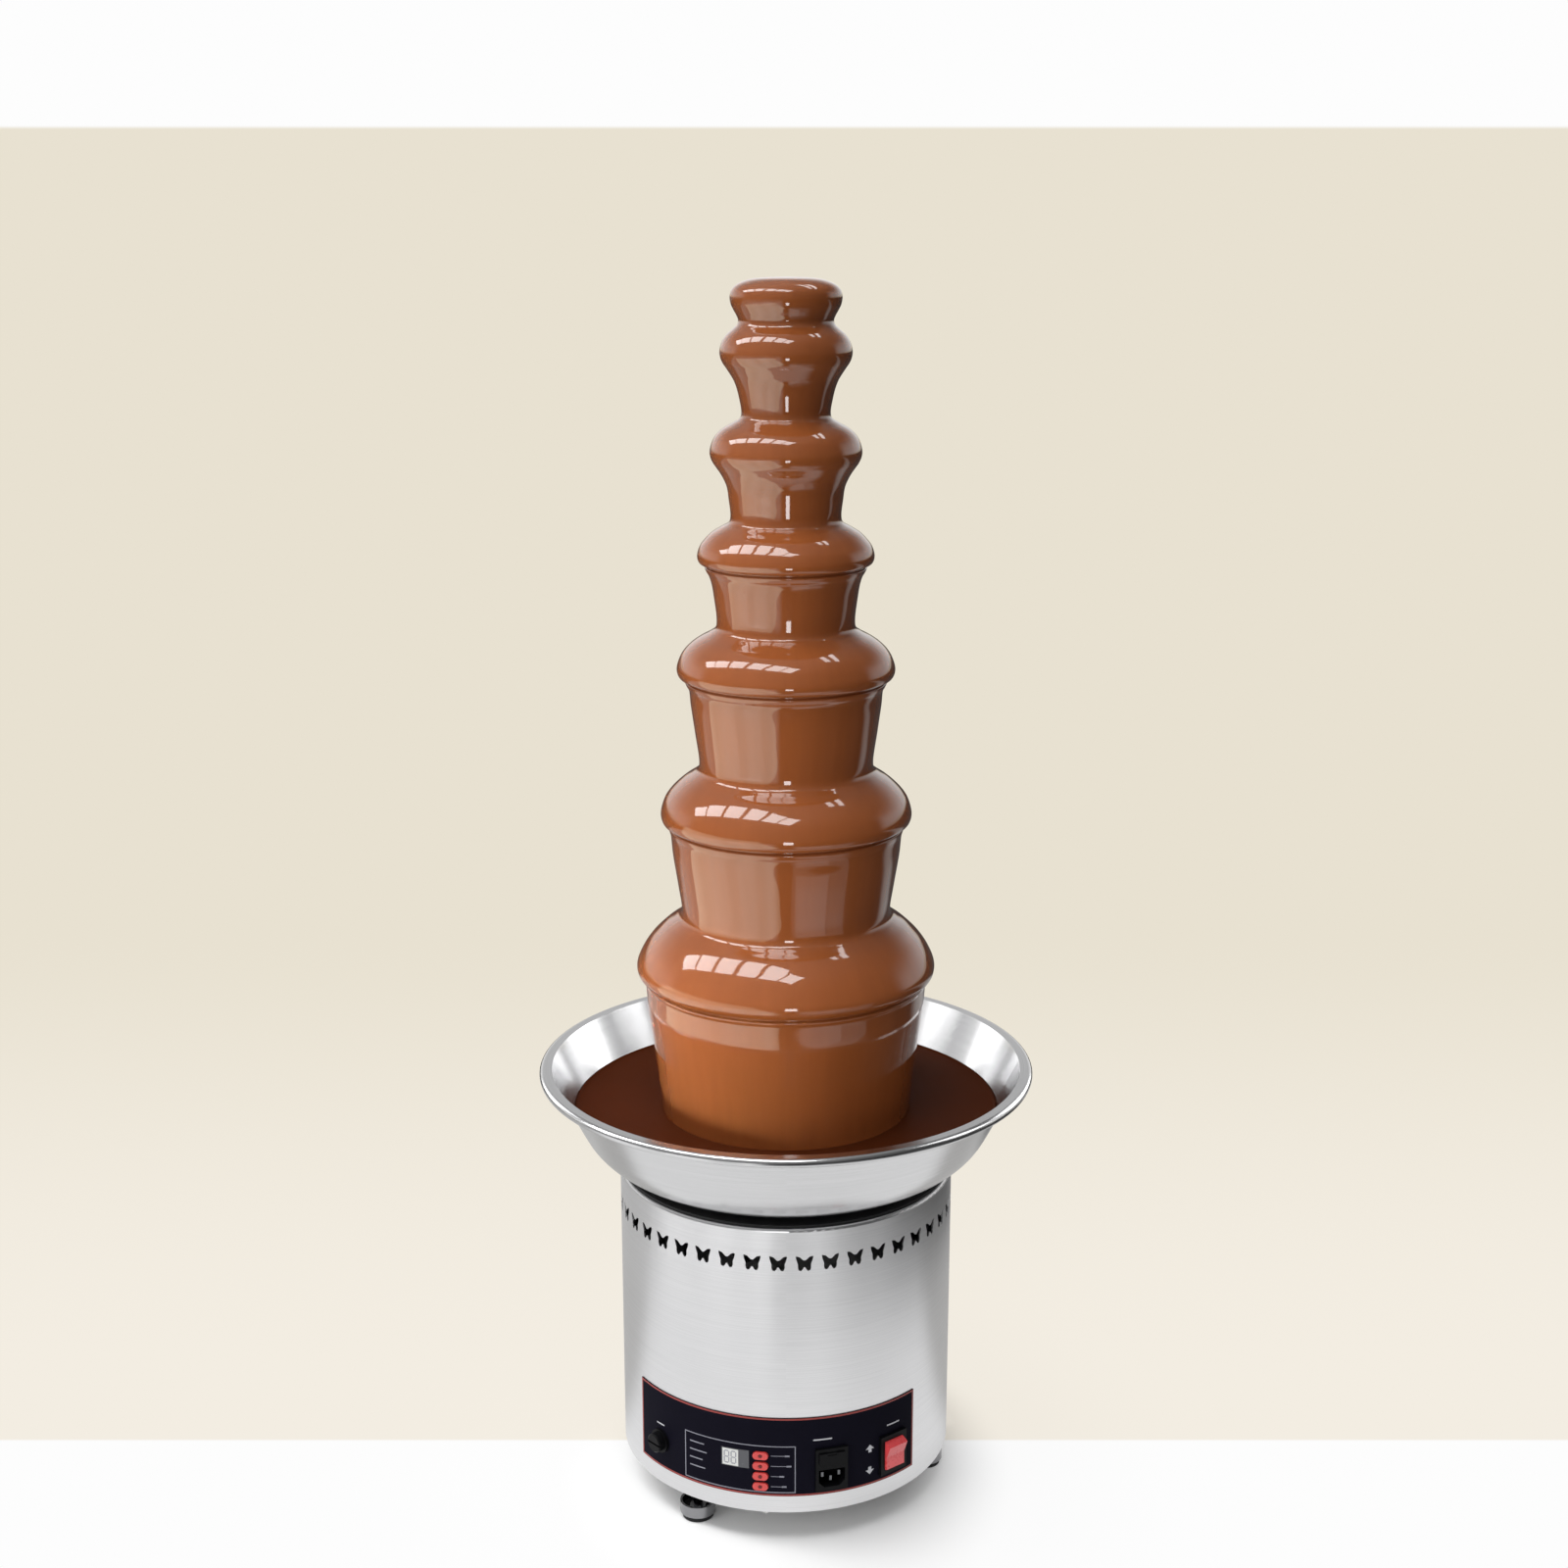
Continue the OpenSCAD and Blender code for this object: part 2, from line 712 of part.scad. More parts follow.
module drive_shaft() {
  color(steel) {
    disc(shaft_r, lower_under - 1, hub_top + 0.5);
    translate([0, 0, hub_top]) cylinder(r = shaft_r, h = hex_top - hub_top, $fn = 6);
  }
}

// Gear frame

module drive_gear() {
  color(bronze) difference() {
    union() {
      rotate([0, 0, 90]) gear(drive_teeth, drive_gear_z, drive_gear_t);
      disc(bush_r, lower_top + bush_flange_t + 0.3, drive_gear_z);
    }
    disc(shaft_r + run_gap / 2, lower_top, upper_top);
    for (a = [30:60:330]) rotate([0, 0, a]) translate([gear_m * drive_teeth / 3, 0, 0])
      disc(6, drive_gear_z - 1, drive_gear_z + drive_gear_t + 1);
  }
}

// The tooth that faces a mating tooth gap lies on the line between the two axes
module idler_gear() {
  half_step = 180 / pinion_teeth;
  color("ivory") translate([idler_at.x, idler_at.y, 0]) difference() {
    union() {
      rotate([0, 0, 180]) gear(wheel_teeth, wheel_z, wheel_t);
      rotate([0, 0, 270 - half_step]) gear(pinion_teeth, wheel_z + 1, upper_under - wheel_z - 2);
      disc(idler_pin_r + 3, lower_top + 0.3, wheel_z);
    }
    disc(idler_pin_r + run_gap, lower_top - 1, upper_top);
    for (a = [0:60:300]) rotate([0, 0, a]) translate([gear_m * wheel_teeth / 3, 0, 0])
      disc(4.5, wheel_z - 1, wheel_z + wheel_t + 1);
  }
}

module idler_pin() {
  color(steel) translate([idler_at.x, idler_at.y, 0]) disc(idler_pin_r, lower_under, upper_top);
}

module motor_pinion() {
  color(bronze) at_motor() difference() {
    rotate([0, 0, -180 / pinion_teeth]) gear(pinion_teeth, wheel_z - 1, wheel_t + 2);
    disc(rotor_shaft_r + run_gap / 2, wheel_z - 2, wheel_z + wheel_t + 2);
  }
}

module gear_plate(z) {
  color(steel) difference() {
    translate([plate_at.x, plate_at.y, 0]) disc(gear_plate_r, z, z + gear_plate_t);
    disc(bush_r + run_gap, z - 1, z + gear_plate_t + 1);
    translate([idler_at.x, idler_at.y, 0]) disc(idler_pin_r + run_gap, z - 1, z + gear_plate_t + 1);
    at_motor() disc(rotor_shaft_r + 3, z - 1, z + gear_plate_t + 1);
    at_pillars() disc(bolt_r + seat_gap, z - 1, z + gear_plate_t + 1);
    at_motor_screws() disc(screw_r + seat_gap, z - 1, z + gear_plate_t + 1);
  }
}

module gear_plate_upper() {
  gear_plate(upper_under);
}

module gear_plate_lower() {
  gear_plate(lower_under);
}

module gear_pillars() {
  color(steel) at_pillars() ring(bolt_r + seat_gap, pillar_r, lower_top, upper_under);
}

module drive_screws() {
  color(dark_steel) {
    at_pillars() {
      translate([0, 0, lower_under - 4]) cylinder(r = bolt_r * 1.8, h = 4, $fn = 6);
      disc(bolt_r, lower_under, upper_top + bolt_grip);
    }
    at_motor_screws() {
      disc(screw_head_r, strap_under - screw_head_h, strap_under);
      disc(screw_r, strap_under, lower_top);
    }
  }
}

// Shaded-pole motor

module motor_rotor() {
  color("darkgray") at_motor() {
    disc(rotor_shaft_r, strap_under + 0.5, wheel_z + wheel_t + 1);
    disc(rotor_r, stack_under, stack_top);
    for (a = [0:45:315], z = [stack_under - 3, stack_top - 0.5])
      rotate([0, 0, a]) translate([rotor_r - 3, 0, 0]) disc(1.5, z, z + 3.5);
  }
}

module motor_stator() {
  color(dark_steel) translate([0, 0, stack_under]) linear_extrude(stack_h) difference() {
    translate(motor_at - [stack_half, stack_half]) square([stack_half + leg_x + leg_w, 2 * stack_half]);
    translate(motor_at) circle(rotor_r + air_gap);
    translate(motor_at + [stack_half - 5, -window_h]) square([leg_x - stack_half + 5, 2 * window_h]);
    for (s = [-1, 1]) translate(motor_at + [0, s * strap_hole]) circle(screw_r + seat_gap);
  }
}

module motor_coil() {
  wrap = 9;
  gap = seat_gap * 3;
  color("chocolate") at_motor() difference() {
    translate([leg_x - wrap, -window_h + gap, stack_under - wrap])
      cube([leg_w + 2 * wrap, 2 * (window_h - gap), stack_h + 2 * wrap]);
    translate([leg_x - gap, -window_h - 1, stack_under - gap])
      cube([leg_w + 2 * gap, 2 * window_h + 2, stack_h + 2 * gap]);
  }
}

// A strap with its bearing boss and two posts, which reach from the strap towards the stack
module motor_bracket(strap_z, post_z, boss_z) {
  color(steel) at_motor() difference() {
    union() {
      translate([0, 0, strap_z]) linear_extrude(strap_t) rotate(90) oval(2 * strap_hole + strap_w, strap_w);
      for (s = [-1, 1]) translate([0, s * strap_hole, 0]) disc(strap_w / 4, post_z, post_z + bracket_post);
      disc(6, boss_z, boss_z + strap_t + 4);
    }
    disc(rotor_shaft_r + run_gap, strap_under - 5, lower_top);
    for (s = [-1, 1]) translate([0, s * strap_hole, 0]) disc(screw_r + seat_gap, strap_under - 5, lower_top);
  }
}

module motor_brackets() {
  motor_bracket(stack_top + bracket_post, stack_top, stack_top + bracket_post - 4);
  motor_bracket(strap_under, strap_under + strap_t, strap_under);
}

// Control panel

module panel_overlay() {
  color(black) difference() {
    at_azimuth(panel_left - 90) rotate_extrude(angle = panel_right - panel_left)
      translate([base_r + seat_gap, panel_z]) square([panel_t, panel_h]);
    panel_openings(0.2);
  }
}

module control_board() {
  color("darkgreen") at_azimuth(board_az) {
    difference() {
      front(board_y - board_t, board_y) translate([0, board_z]) square(board_size, center = true);
      for (x = [-1, 1], z = [-1, 1]) front(board_y - 5, board_y - 0.8)
        translate([x * (board_size.x / 2 - 5), board_z + z * (board_size.y / 2 - 5)]) circle(1.2);
    }
    for (k = [0:3]) translate([button_x, 0, button_top_z - k * button_pitch]) {
      front(board_y, board_y + tact_h - 1) square([6, 6], center = true);
      front(board_y, board_y + tact_h) circle(1.7);
    }
  }
}

module display_module() {
  color("whitesmoke") intersection() {
    at_azimuth(board_az) front(board_y, film_r + 3)
      translate([display_x, display_z]) square([display_w, display_h], center = true);
    disc(film_r + 0.2, 0, base_top);
  }
}

module button(k) {
  z = button_top_z - (k - 1) * button_pitch;
  color(red) at_azimuth(board_az) translate([button_x, 0, z]) difference() {
    union() {
      intersection() {
        front(button_flange_y - button_flange, film_r + 5) oval(button_w, button_h);
        translate([-button_x, 0, 0]) disc(film_r + button_proud, -20, 20, $fn = 360);
      }
      front(button_flange_y - button_flange, button_flange_y)
        oval(button_w + 2 * button_flange, button_h + button_flange);
      front(board_y + tact_h + button_travel + 0.2, button_flange_y) circle(2);
    }
    front(film_r + button_proud - 1.2, film_r + 5) circle(1.7);
  }
}

module button_1() {
  button(1);
}

module button_2() {
  button(2);
}

module button_3() {
  button(3);
}

module button_4() {
  button(4);
}

module at_inlet() {
  at_azimuth(inlet_az) translate([0, 0, parts_z]) children();
}

// Mains socket outline with its two cut corners at the bottom
module socket_2d(half) {
  cut = half.y * 0.6;
  translate([0, socket_z]) polygon([[-half.x, half.y], [half.x, half.y], [half.x, cut - half.y],
    [half.x - cut, -half.y], [cut - half.x, -half.y], [-half.x, cut - half.y]]);
}

module pin_places() {
  for (p = [[-7, 1.6], [7, 1.6], [0, -2.4]]) translate([p.x, socket_z + p.y]) children();
}

module inlet_body() {
  face = film_r + face_t;
  color(black) at_inlet() difference() {
    union() {
      difference() {
        front(film_r - 2, face) box2(inlet_half);
        disc(film_r + seat_gap, -inlet_half.y - 1, inlet_half.y + 1);
      }
      front(face - socket_depth - 8, face) box2(inlet_half, 0, -inlet_wall - 0.2);
    }
    front(face - socket_depth, face + 1) socket_2d(socket_half);
    front(face - drawer_depth - move_gap, face + 1) box2(drawer_half, drawer_z, -1 + move_gap);
    front(face - socket_depth - 9, face) pin_places() square([2, 4] + [2, 2] * seat_gap / 2, center = true);
  }
}

module inlet_pins() {
  face = film_r + face_t;
  color("gold") at_inlet() front(face - socket_depth - 16, face - 4)
    pin_places() square([2, 4], center = true);
}

module fuse_drawer() {
  face = film_r + face_t;
  color(black) at_inlet() translate([0, 0, drawer_z]) difference() {
    union() {
      front(face + 0.1, face + 1.6) box2(drawer_half);
      front(face - drawer_depth, face + 0.5) box2(drawer_half, 0, -1);
    }
    front(face + 1, face + 3) translate([0, drawer_half.y - 1]) square([8, 2], center = true);
  }
}

module at_fuse() {
  at_azimuth(fuse_az) translate([0, 0, fuse_z]) children();
}

module fuse_holder() {
  face = film_r + face_t;
  color(black) at_fuse() difference() {
    union() {
      difference() {
        front(film_r - 2, face) circle(fuse_cap_r + 2);
        disc(film_r + seat_gap, -fuse_cap_r - 3, fuse_cap_r + 3);
      }
      front(face - 36, face) circle(fuse_barrel_r);
    }
    front(face - 24, face + 1) circle(fuse_bore_r);
  }
}

module fuse_cap() {
  face = film_r + face_t;
  color(black) at_fuse() difference() {
    union() {
      front(face - 20, face + 0.3) circle(fuse_bore_r - run_gap);
      front(face + 0.2, face + 5) circle(fuse_cap_r);
      translate([0, -face - 5, 0]) rotate([90, 0, 0]) cylinder(r1 = fuse_cap_r, r2 = fuse_cap_r - 1, h = 1);
    }
    front(face + 4.4, face + 8) square([2 * fuse_cap_r + 2, 1.6], center = true);
  }
}

module at_rocker() {
  at_azimuth(rocker_az) translate([0, 0, parts_z]) children();
}

module rocker_housing() {
  face = film_r + face_t;
  color(black) at_rocker() difference() {
    union() {
      difference() {
        front(film_r - 3, face) box2(frame_half);
        disc(film_r + seat_gap, -frame_half.y - 1, frame_half.y + 1);
      }
      front(face - 26, face) box2(rocker_half + [1, 1] * rocker_wall, 0, move_gap - 0.1);
    }
    front(face - 20, face + 1) box2(rocker_half, 0, move_gap);
    rotate([0, 90, 0]) translate([0, -face + pivot_depth, -pivot_half - seat_gap])
      cylinder(r = pivot_r + run_gap, h = 2 * (pivot_half + seat_gap));
  }
}

// Paddle at its tilted rest, drawn about its pivot: outward along -Y, ends turned about the pivot
module rocker() {
  face = film_r + face_t;
  color(red) at_rocker() translate([0, -face + pivot_depth, 0]) rotate([rocker_tilt, 0, 0]) {
    rotate([0, 90, 0]) {
      translate([0, 0, -rocker_half.x]) intersection() {
        linear_extrude(2 * rocker_half.x)
          polygon([[-8, 3.5], [8, 3.5], [20, -4.6], [20, -8.4], [0, -4.6], [-20, -8.4], [-20, -4.6]]);
        translate([0, 0, -1]) cylinder(r = rocker_half.y, h = 2 * rocker_half.x + 2);
      }
      translate([0, 0, -pivot_half]) cylinder(r = pivot_r, h = 2 * pivot_half);
    }
  }
}

// Tower

module tower_tube() {
  color(steel) difference() {
    union() {
      ring(tube_r - tube_t, tube_r, bowl_floor, tube_top);
      ring(tube_r - tube_t, tower_foot_r, bowl_floor, bowl_floor + tower_foot_t);
    }
    for (a = [0:90:270]) rotate([0, 0, a]) translate([tube_r - 5, -intake_w / 2, bowl_floor + intake_z])
      cube([10, intake_w, intake_h]);
  }
}

// Half section of everything under a tier's skin, the skin grown by g
module dome_2d(i, g) {
  c = [tier_radii[i] - shoulder(i), tier_levels[i]];
  q = shoulder(i) + g;
  polygon([[0, c.y], c, c + q * [sin(dome_slope), cos(dome_slope)], [0, dome_z(i, 0, g)]]);
  intersection() {
    translate(c) circle(q);
    translate(c) square(q);
  }
}

function collar_top(i) = dome_z(i, collar_in_r, 0) - 1;
function tier_screw_z(i) = collar_top(i) - collar_h + 5;

module tier(k) {
  i = k - 1;
  r = tier_radii[i];
  z = tier_levels[i];
  color(steel) difference() {
    rotate_extrude() {
      difference() {
        union() {
          dome_2d(i, 0);
          translate([0, z - skirt_h]) square([r, skirt_h]);
        }
        dome_2d(i, -tier_t);
        translate([0, z - skirt_h - 1]) square([r - tier_t, skirt_h + 1]);
        translate([0, z - skirt_h - 1]) square([collar_in_r, r + 100]);
      }
      translate([collar_in_r, collar_top(i) - collar_h]) square([collar_t, collar_h]);
    }
    tier_screw(i, seat_gap);
  }
}

module tier_screw(i, grow) {
  translate([0, tube_r + seat_gap - grow * 3, tier_screw_z(i)]) rotate([-90, 0, 0])
    cylinder(r = screw_r + grow, h = tier_screw_l + grow * 6);
}

module tier_screws() {
  color(dark_steel) for (i = [0:top_tier]) tier_screw(i, 0);
}

module tier_1() {
  tier(1);
}

module tier_2() {
  tier(2);
}

module tier_3() {
  tier(3);
}

module tier_4() {
  tier(4);
}

module tier_5() {
  tier(5);
}

module tier_6() {
  tier(6);
}

crown_collar = collar_in_r + tier_t;
crown_base = tube_top - 4;

module crown() {
  color(steel) rotate_extrude()
    polygon([[collar_in_r, crown_base], [crown_collar, crown_base], [crown_collar, tube_top],
      [crown_r, crown_z - 0.6], [crown_r - 0.8, crown_z], [crown_r - 1.6, crown_z],
      [collar_in_r, tube_top + tier_t], [tube_r - tube_t, tube_top + tier_t],
      [tube_r - tube_t, tube_top + seat_gap], [collar_in_r, tube_top + seat_gap]]);
}

// Auger

module auger_shaft() {
  color(steel) difference() {
    disc(core_r, core_under, core_top);
    translate([0, 0, core_under - 1])
      cylinder(r = shaft_r + seat_gap * 2, h = hex_top - core_under + 2, $fn = 6);
  }
}

// One blade drawn across the axis and carried up along the helix
module auger_flight() {
  half = 180 * flight_t / flight_pitch;
  sag = cos(half) * cos(180 / slices_per_turn);
  inner = core_r / sag + 0.15;
  color(steel) translate([0, 0, flight_under])
    linear_extrude(flight_top - flight_under, twist = -360 * flight_turns, segments = 5,
      slices = ceil(flight_turns * slices_per_turn))
      polygon([on_circle(inner, -half), each [for (k = [-1:1]) on_circle(flight_r, k * half)],
        on_circle(inner, half)]);
}

// Chocolate

module chocolate_pool() {
  color([0.2, 0.08, 0.04]) rotate_extrude() difference() {
    intersection() {
      bowl_2d(bowl_t + liquid_gap, rim_z);
      square([rim_r, pool_z]);
    }
    square([tube_r + liquid_gap, rim_z]);
    square([tower_foot_r + liquid_gap, bowl_floor + tower_foot_t + liquid_gap]);
  }
}

// A curtain from its rounded edge of radius b at height top down to where it lands
module curtain_2d(r, top, b, i, inner) {
  land = landing(r, top, i);
  foot = foot_r(r, top, i);
  polygon([[inner, top + b + 1], [r + b, top + b + 1], [r + b, top + b], [r, top], [foot, land],
    [foot - curtain_t, land], [r - curtain_t, top]]);
  intersection() {
    translate([r, top + b]) circle(b);
    polygon([[r, top], [r + b, top], [r + b, top + b], [r + b / 2, top + b]]);
  }
}

module curtain_sheet(i) {
  z = tier_levels[i];
  rim = tier_radii[i];
  b = bead(i);
  top = curtain_top(i);
  color(milk_chocolate) rotate_extrude() {
    difference() {
      dome_2d(i, film_t);
      dome_2d(i, liquid_gap);
      translate([0, z - 1]) square([film_in_r(i), rim + 100]);
    }
    translate([rim + liquid_gap, top + b]) square([film_t - liquid_gap, z - top - b]);
    curtain_2d(curtain_r(i), top, b, i - 1, curtain_r(i) - curtain_t);
  }
}

module chocolate_curtains() {
  for (i = [0:top_tier]) curtain_sheet(i);
}

// Rounded head of chocolate that wells out of the tube, fills the crown's dish and falls over its rim
module chocolate_crown() {
  rim = crown_r + film_t;
  b = bead_high / 2;
  top = curtain_top(top_tier + 1);
  head = 12;
  rise = 4.5;
  cap = (pow(rim - head, 2) + rise * rise) / (2 * rise);
  dish_z = tube_top + tier_t + liquid_gap;
  lip = crown_z + liquid_gap;
  color(milk_chocolate) rotate_extrude() {
    polygon([[0, dish_z], [collar_in_r, dish_z], [crown_r - 1.8, lip], [crown_r - 1.8, lip + 1],
      [0, lip + 1]]);
    translate([0, lip]) square([rim - head, head - liquid_gap]);
    intersection() {
      translate([rim - head, crown_z]) circle(head);
      translate([rim - 2 * head, lip]) square([2 * head, head]);
    }
    intersection() {
      translate([0, crown_z + head + rise - cap]) circle(cap);
      translate([0, crown_z + head - 1]) square([rim - head, rise + 1]);
    }
  }
  color(milk_chocolate) rotate_extrude() {
    translate([crown_r + liquid_gap, top + b]) square([film_t - liquid_gap, lip - top - b + 0.5]);
    curtain_2d(curtain_r(top_tier + 1), top, b, top_tier, crown_r + liquid_gap);
  }
}

base_shell();
bottom_plate();
bottom_screws();
foot_nuts();
foot_cup(1);  // foot_cup_1
foot_cup(2);  // foot_cup_2
foot_cup(3);  // foot_cup_3
foot_pad(1);  // foot_pad_1
foot_pad(2);  // foot_pad_2
foot_pad(3);  // foot_pad_3
deck_plate();
bowl_gasket();
bowl();
bowl_nuts();
heater_plate();
bowl_thermostat();
shaft_hub();
shaft_seal();
shaft_bushes();
drive_shaft();
drive_gear();
idler_gear();
idler_pin();
motor_pinion();
gear_plate_upper();
gear_plate_lower();
gear_pillars();
drive_screws();
motor_rotor();
motor_stator();
motor_coil();
motor_brackets();
panel_overlay();
control_board();
display_module();
button_1();
button_2();
button_3();
button_4();
inlet_body();
inlet_pins();
fuse_drawer();
fuse_holder();
fuse_cap();
rocker_housing();
rocker();
tower_tube();
tier_1();
tier_2();
tier_3();
tier_4();
tier_5();
tier_6();
tier_screws();
crown();
auger_shaft();
auger_flight();
chocolate_pool();
chocolate_curtains();
chocolate_crown();
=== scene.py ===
"""Looks of a seven-level chocolate fountain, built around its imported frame.

The scene is in metres, +Z up, with the front towards -Y. Profiles of the chocolate and places on
the panel are given in millimetres, and angles round the axis in degrees to the right of the front.
"""

import logging
import math
from dataclasses import dataclass
from enum import Enum
from typing import Callable, ClassVar, Dict, List, Mapping, Optional, Sequence, Tuple, Union

import bpy
from mathutils import Matrix, Vector


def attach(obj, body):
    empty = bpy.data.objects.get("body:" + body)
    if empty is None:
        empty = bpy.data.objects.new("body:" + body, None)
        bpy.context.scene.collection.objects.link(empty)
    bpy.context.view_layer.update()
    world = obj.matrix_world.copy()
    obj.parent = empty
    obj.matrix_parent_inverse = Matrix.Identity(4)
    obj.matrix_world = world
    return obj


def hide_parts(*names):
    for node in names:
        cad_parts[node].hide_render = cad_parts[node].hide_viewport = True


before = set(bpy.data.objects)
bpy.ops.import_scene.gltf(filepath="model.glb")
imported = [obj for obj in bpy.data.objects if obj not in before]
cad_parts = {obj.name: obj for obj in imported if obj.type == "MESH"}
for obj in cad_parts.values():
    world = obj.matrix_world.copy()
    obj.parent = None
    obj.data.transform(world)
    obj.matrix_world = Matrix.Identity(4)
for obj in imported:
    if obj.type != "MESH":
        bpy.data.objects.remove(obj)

LOG = logging.getLogger("fountain")
MM = 0.001
BODY = "fountain"

Pair = Tuple[float, float]
Place = Tuple[float, float, float]
Colour = Tuple[float, float, float]
Rgba = Tuple[float, float, float, float]
Box = Tuple[float, float, float, float]
PortLike = Union["Port", float, int, Sequence[float]]
Wobble = Callable[[float, float, float], float]


class Grain(Enum):
    """Direction of the fine lines in brushed metal."""

    ROUND = "round"
    STRAIGHT = "straight"


class Lit(Enum):
    """The one piece that a flagged lamp lights."""

    FLOW = "chocolate_flow"
    BOWL = "bowl"
    SHELL = "base_shell"


class Port:
    """A node's output, with arithmetic that makes Math nodes."""

    def __init__(self, graph: "Graph", socket: bpy.types.NodeSocket) -> None:
        """Wraps an output socket of a graph."""
        self.graph = graph
        self.socket = socket

    def math(self, operation: str, *others: PortLike) -> "Port":
        """Returns the result of a Math node that takes this output and others."""
        operands = dict(enumerate((self, *others)))
        return self.graph.make("ShaderNodeMath", {"operation": operation}, operands)

    def reflected(self, operation: str, other: PortLike) -> "Port":
        """Returns the result of a Math node that takes another value and then this output."""
        return self.graph.make("ShaderNodeMath", {"operation": operation}, {0: other, 1: self})

    def hypot(self, other: "Port") -> "Port":
        """Returns the length of the vector that this value and another make."""
        return (self * self + other * other).math("SQRT")

    def __add__(self, other: PortLike) -> "Port":
        """Returns the sum."""
        return self.math("ADD", other)

    def __radd__(self, other: PortLike) -> "Port":
        """Returns the sum."""
        return self.reflected("ADD", other)

    def __sub__(self, other: PortLike) -> "Port":
        """Returns the difference."""
        return self.math("SUBTRACT", other)

    def __rsub__(self, other: PortLike) -> "Port":
        """Returns the other value less this one."""
        return self.reflected("SUBTRACT", other)

    def __mul__(self, other: PortLike) -> "Port":
        """Returns the product."""
        return self.math("MULTIPLY", other)

    def __rmul__(self, other: PortLike) -> "Port":
        """Returns the product."""
        return self.reflected("MULTIPLY", other)

    def __truediv__(self, other: PortLike) -> "Port":
        """Returns the quotient."""
        return self.math("DIVIDE", other)

    def __rtruediv__(self, other: PortLike) -> "Port":
        """Returns the other value divided by this one."""
        return self.reflected("DIVIDE", other)

    def __neg__(self) -> "Port":
        """Returns the negative."""
        return self.math("MULTIPLY", -1.0)


class Graph:
    """A node tree under construction."""

    def __init__(self, tree: bpy.types.NodeTree) -> None:
        """Empties the tree of a material or world."""
        self.tree = tree
        tree.nodes.clear()

    def make(
        self,
        kind: str,
        settings: Optional[Mapping[str, object]] = None,
        inputs: Optional[Mapping[Union[int, str], PortLike]] = None,
        out: Union[int, str] = 0,
    ) -> Port:
        """Makes one node.

        Args:
            kind: The node's type name.
            settings: Properties that are set before the inputs.
            inputs: Values or outputs for its inputs, by index or name.
            out: The output to return, by index or name.

        Returns:
            One of the node's outputs.
        """
        node = self.tree.nodes.new(kind)
        for key, value in (settings or {}).items():
            setattr(node, key, value)
        for key, value in (inputs or {}).items():
            if isinstance(value, Port):
                self.tree.links.new(value.socket, node.inputs[key])
            else:
                node.inputs[key].default_value = value
        return Port(self, node.outputs[out] if len(node.outputs) else None)

    def spot(self) -> Port:
        """Reads where a point lies on the object."""
        return self.make("ShaderNodeTexCoord", out="Object")

    def axes(self, vector: Port) -> Tuple[Port, Port, Port]:
        """Splits a vector.

        Args:
            vector: An output that holds three numbers.

        Returns:
            Its x, y and z.
        """
        split = self.make("ShaderNodeSeparateXYZ", inputs={0: vector}).socket.node
        x, y, z = (Port(self, socket) for socket in split.outputs)
        return x, y, z

    def rays(self) -> Tuple[Port, Port, Port]:
        """Tells apart the rays that arrive.

        Returns:
            1 for a ray from the camera, off a gloss and through a clear piece, in that order.
        """
        path = self.make("ShaderNodeLightPath").socket.node
        kinds = ("Is Camera Ray", "Is Glossy Ray", "Is Transmission Ray")
        camera, mirror, through = (Port(self, path.outputs[kind]) for kind in kinds)
        return camera, mirror, through

    def vector(self, x: PortLike, y: PortLike, z: PortLike) -> Port:
        """Joins three numbers into a vector."""
        return self.make("ShaderNodeCombineXYZ", inputs={0: x, 1: y, 2: z})

    def noise(self, spot: Port, scale: float, detail: float = 2.0, roughness: float = 0.5) -> Port:
        """Returns a noise from 0 to 1 with a scale in cells per unit and detail in octaves."""
        inputs = {"Vector": spot, "Scale": scale, "Detail": detail, "Roughness": roughness}
        return self.make("ShaderNodeTexNoise", None, inputs)

    def span(
        self, value: Port, low: float, high: float, to_low: float = 0.0, to_high: float = 1.0
    ) -> Port:
        """Maps a range of a value onto another range, smoothly and with held ends.

        Args:
            value: The value.
            low: Start of its range.
            high: End of its range.
            to_low: Result at the start.
            to_high: Result at the end.

        Returns:
            The mapped value.
        """
        inputs = {
            "Value": value, "From Min": low, "From Max": high, "To Min": to_low, "To Max": to_high,
        }
        return self.make("ShaderNodeMapRange", {"interpolation_type": "SMOOTHSTEP"}, inputs)

    def edge(self, value: Port, at: float, half: float) -> Port:
        """Rises from 0 to 1 about a place, over half a width to each side."""
        return self.span(value, at - half, at + half)

    def blend(self, factor: PortLike, first: PortLike, second: PortLike) -> Port:
        """Mixes two colours, where the factor is the share of the second one."""
        settings = {"data_type": "RGBA", "clamp_factor": True}
        return self.make("ShaderNodeMix", settings, {0: factor, 6: first, 7: second}, 2)

    def bump(self, height: Port, strength: float, distance: float) -> Port:
        """Turns a height from 0 to 1 into a normal, with the relief's depth in metres."""
        inputs = {"Strength": strength, "Distance": distance, "Height": height}
        return self.make("ShaderNodeBump", None, inputs)


def linear(level: float) -> float:
    """Turns a display level from 0 to 255 into light from 0 to 1, by the usual display curve."""
    share = level / 255
    return ((share + 0.055) / 1.055) ** 2.4 if level > 10 else share / 12.92


def rgb(red: float, green: float, blue: float) -> Rgba:
    """Turns a display colour from 0 to 255 into a linear one with alpha."""
    return (linear(red), linear(green), linear(blue), 1.0)


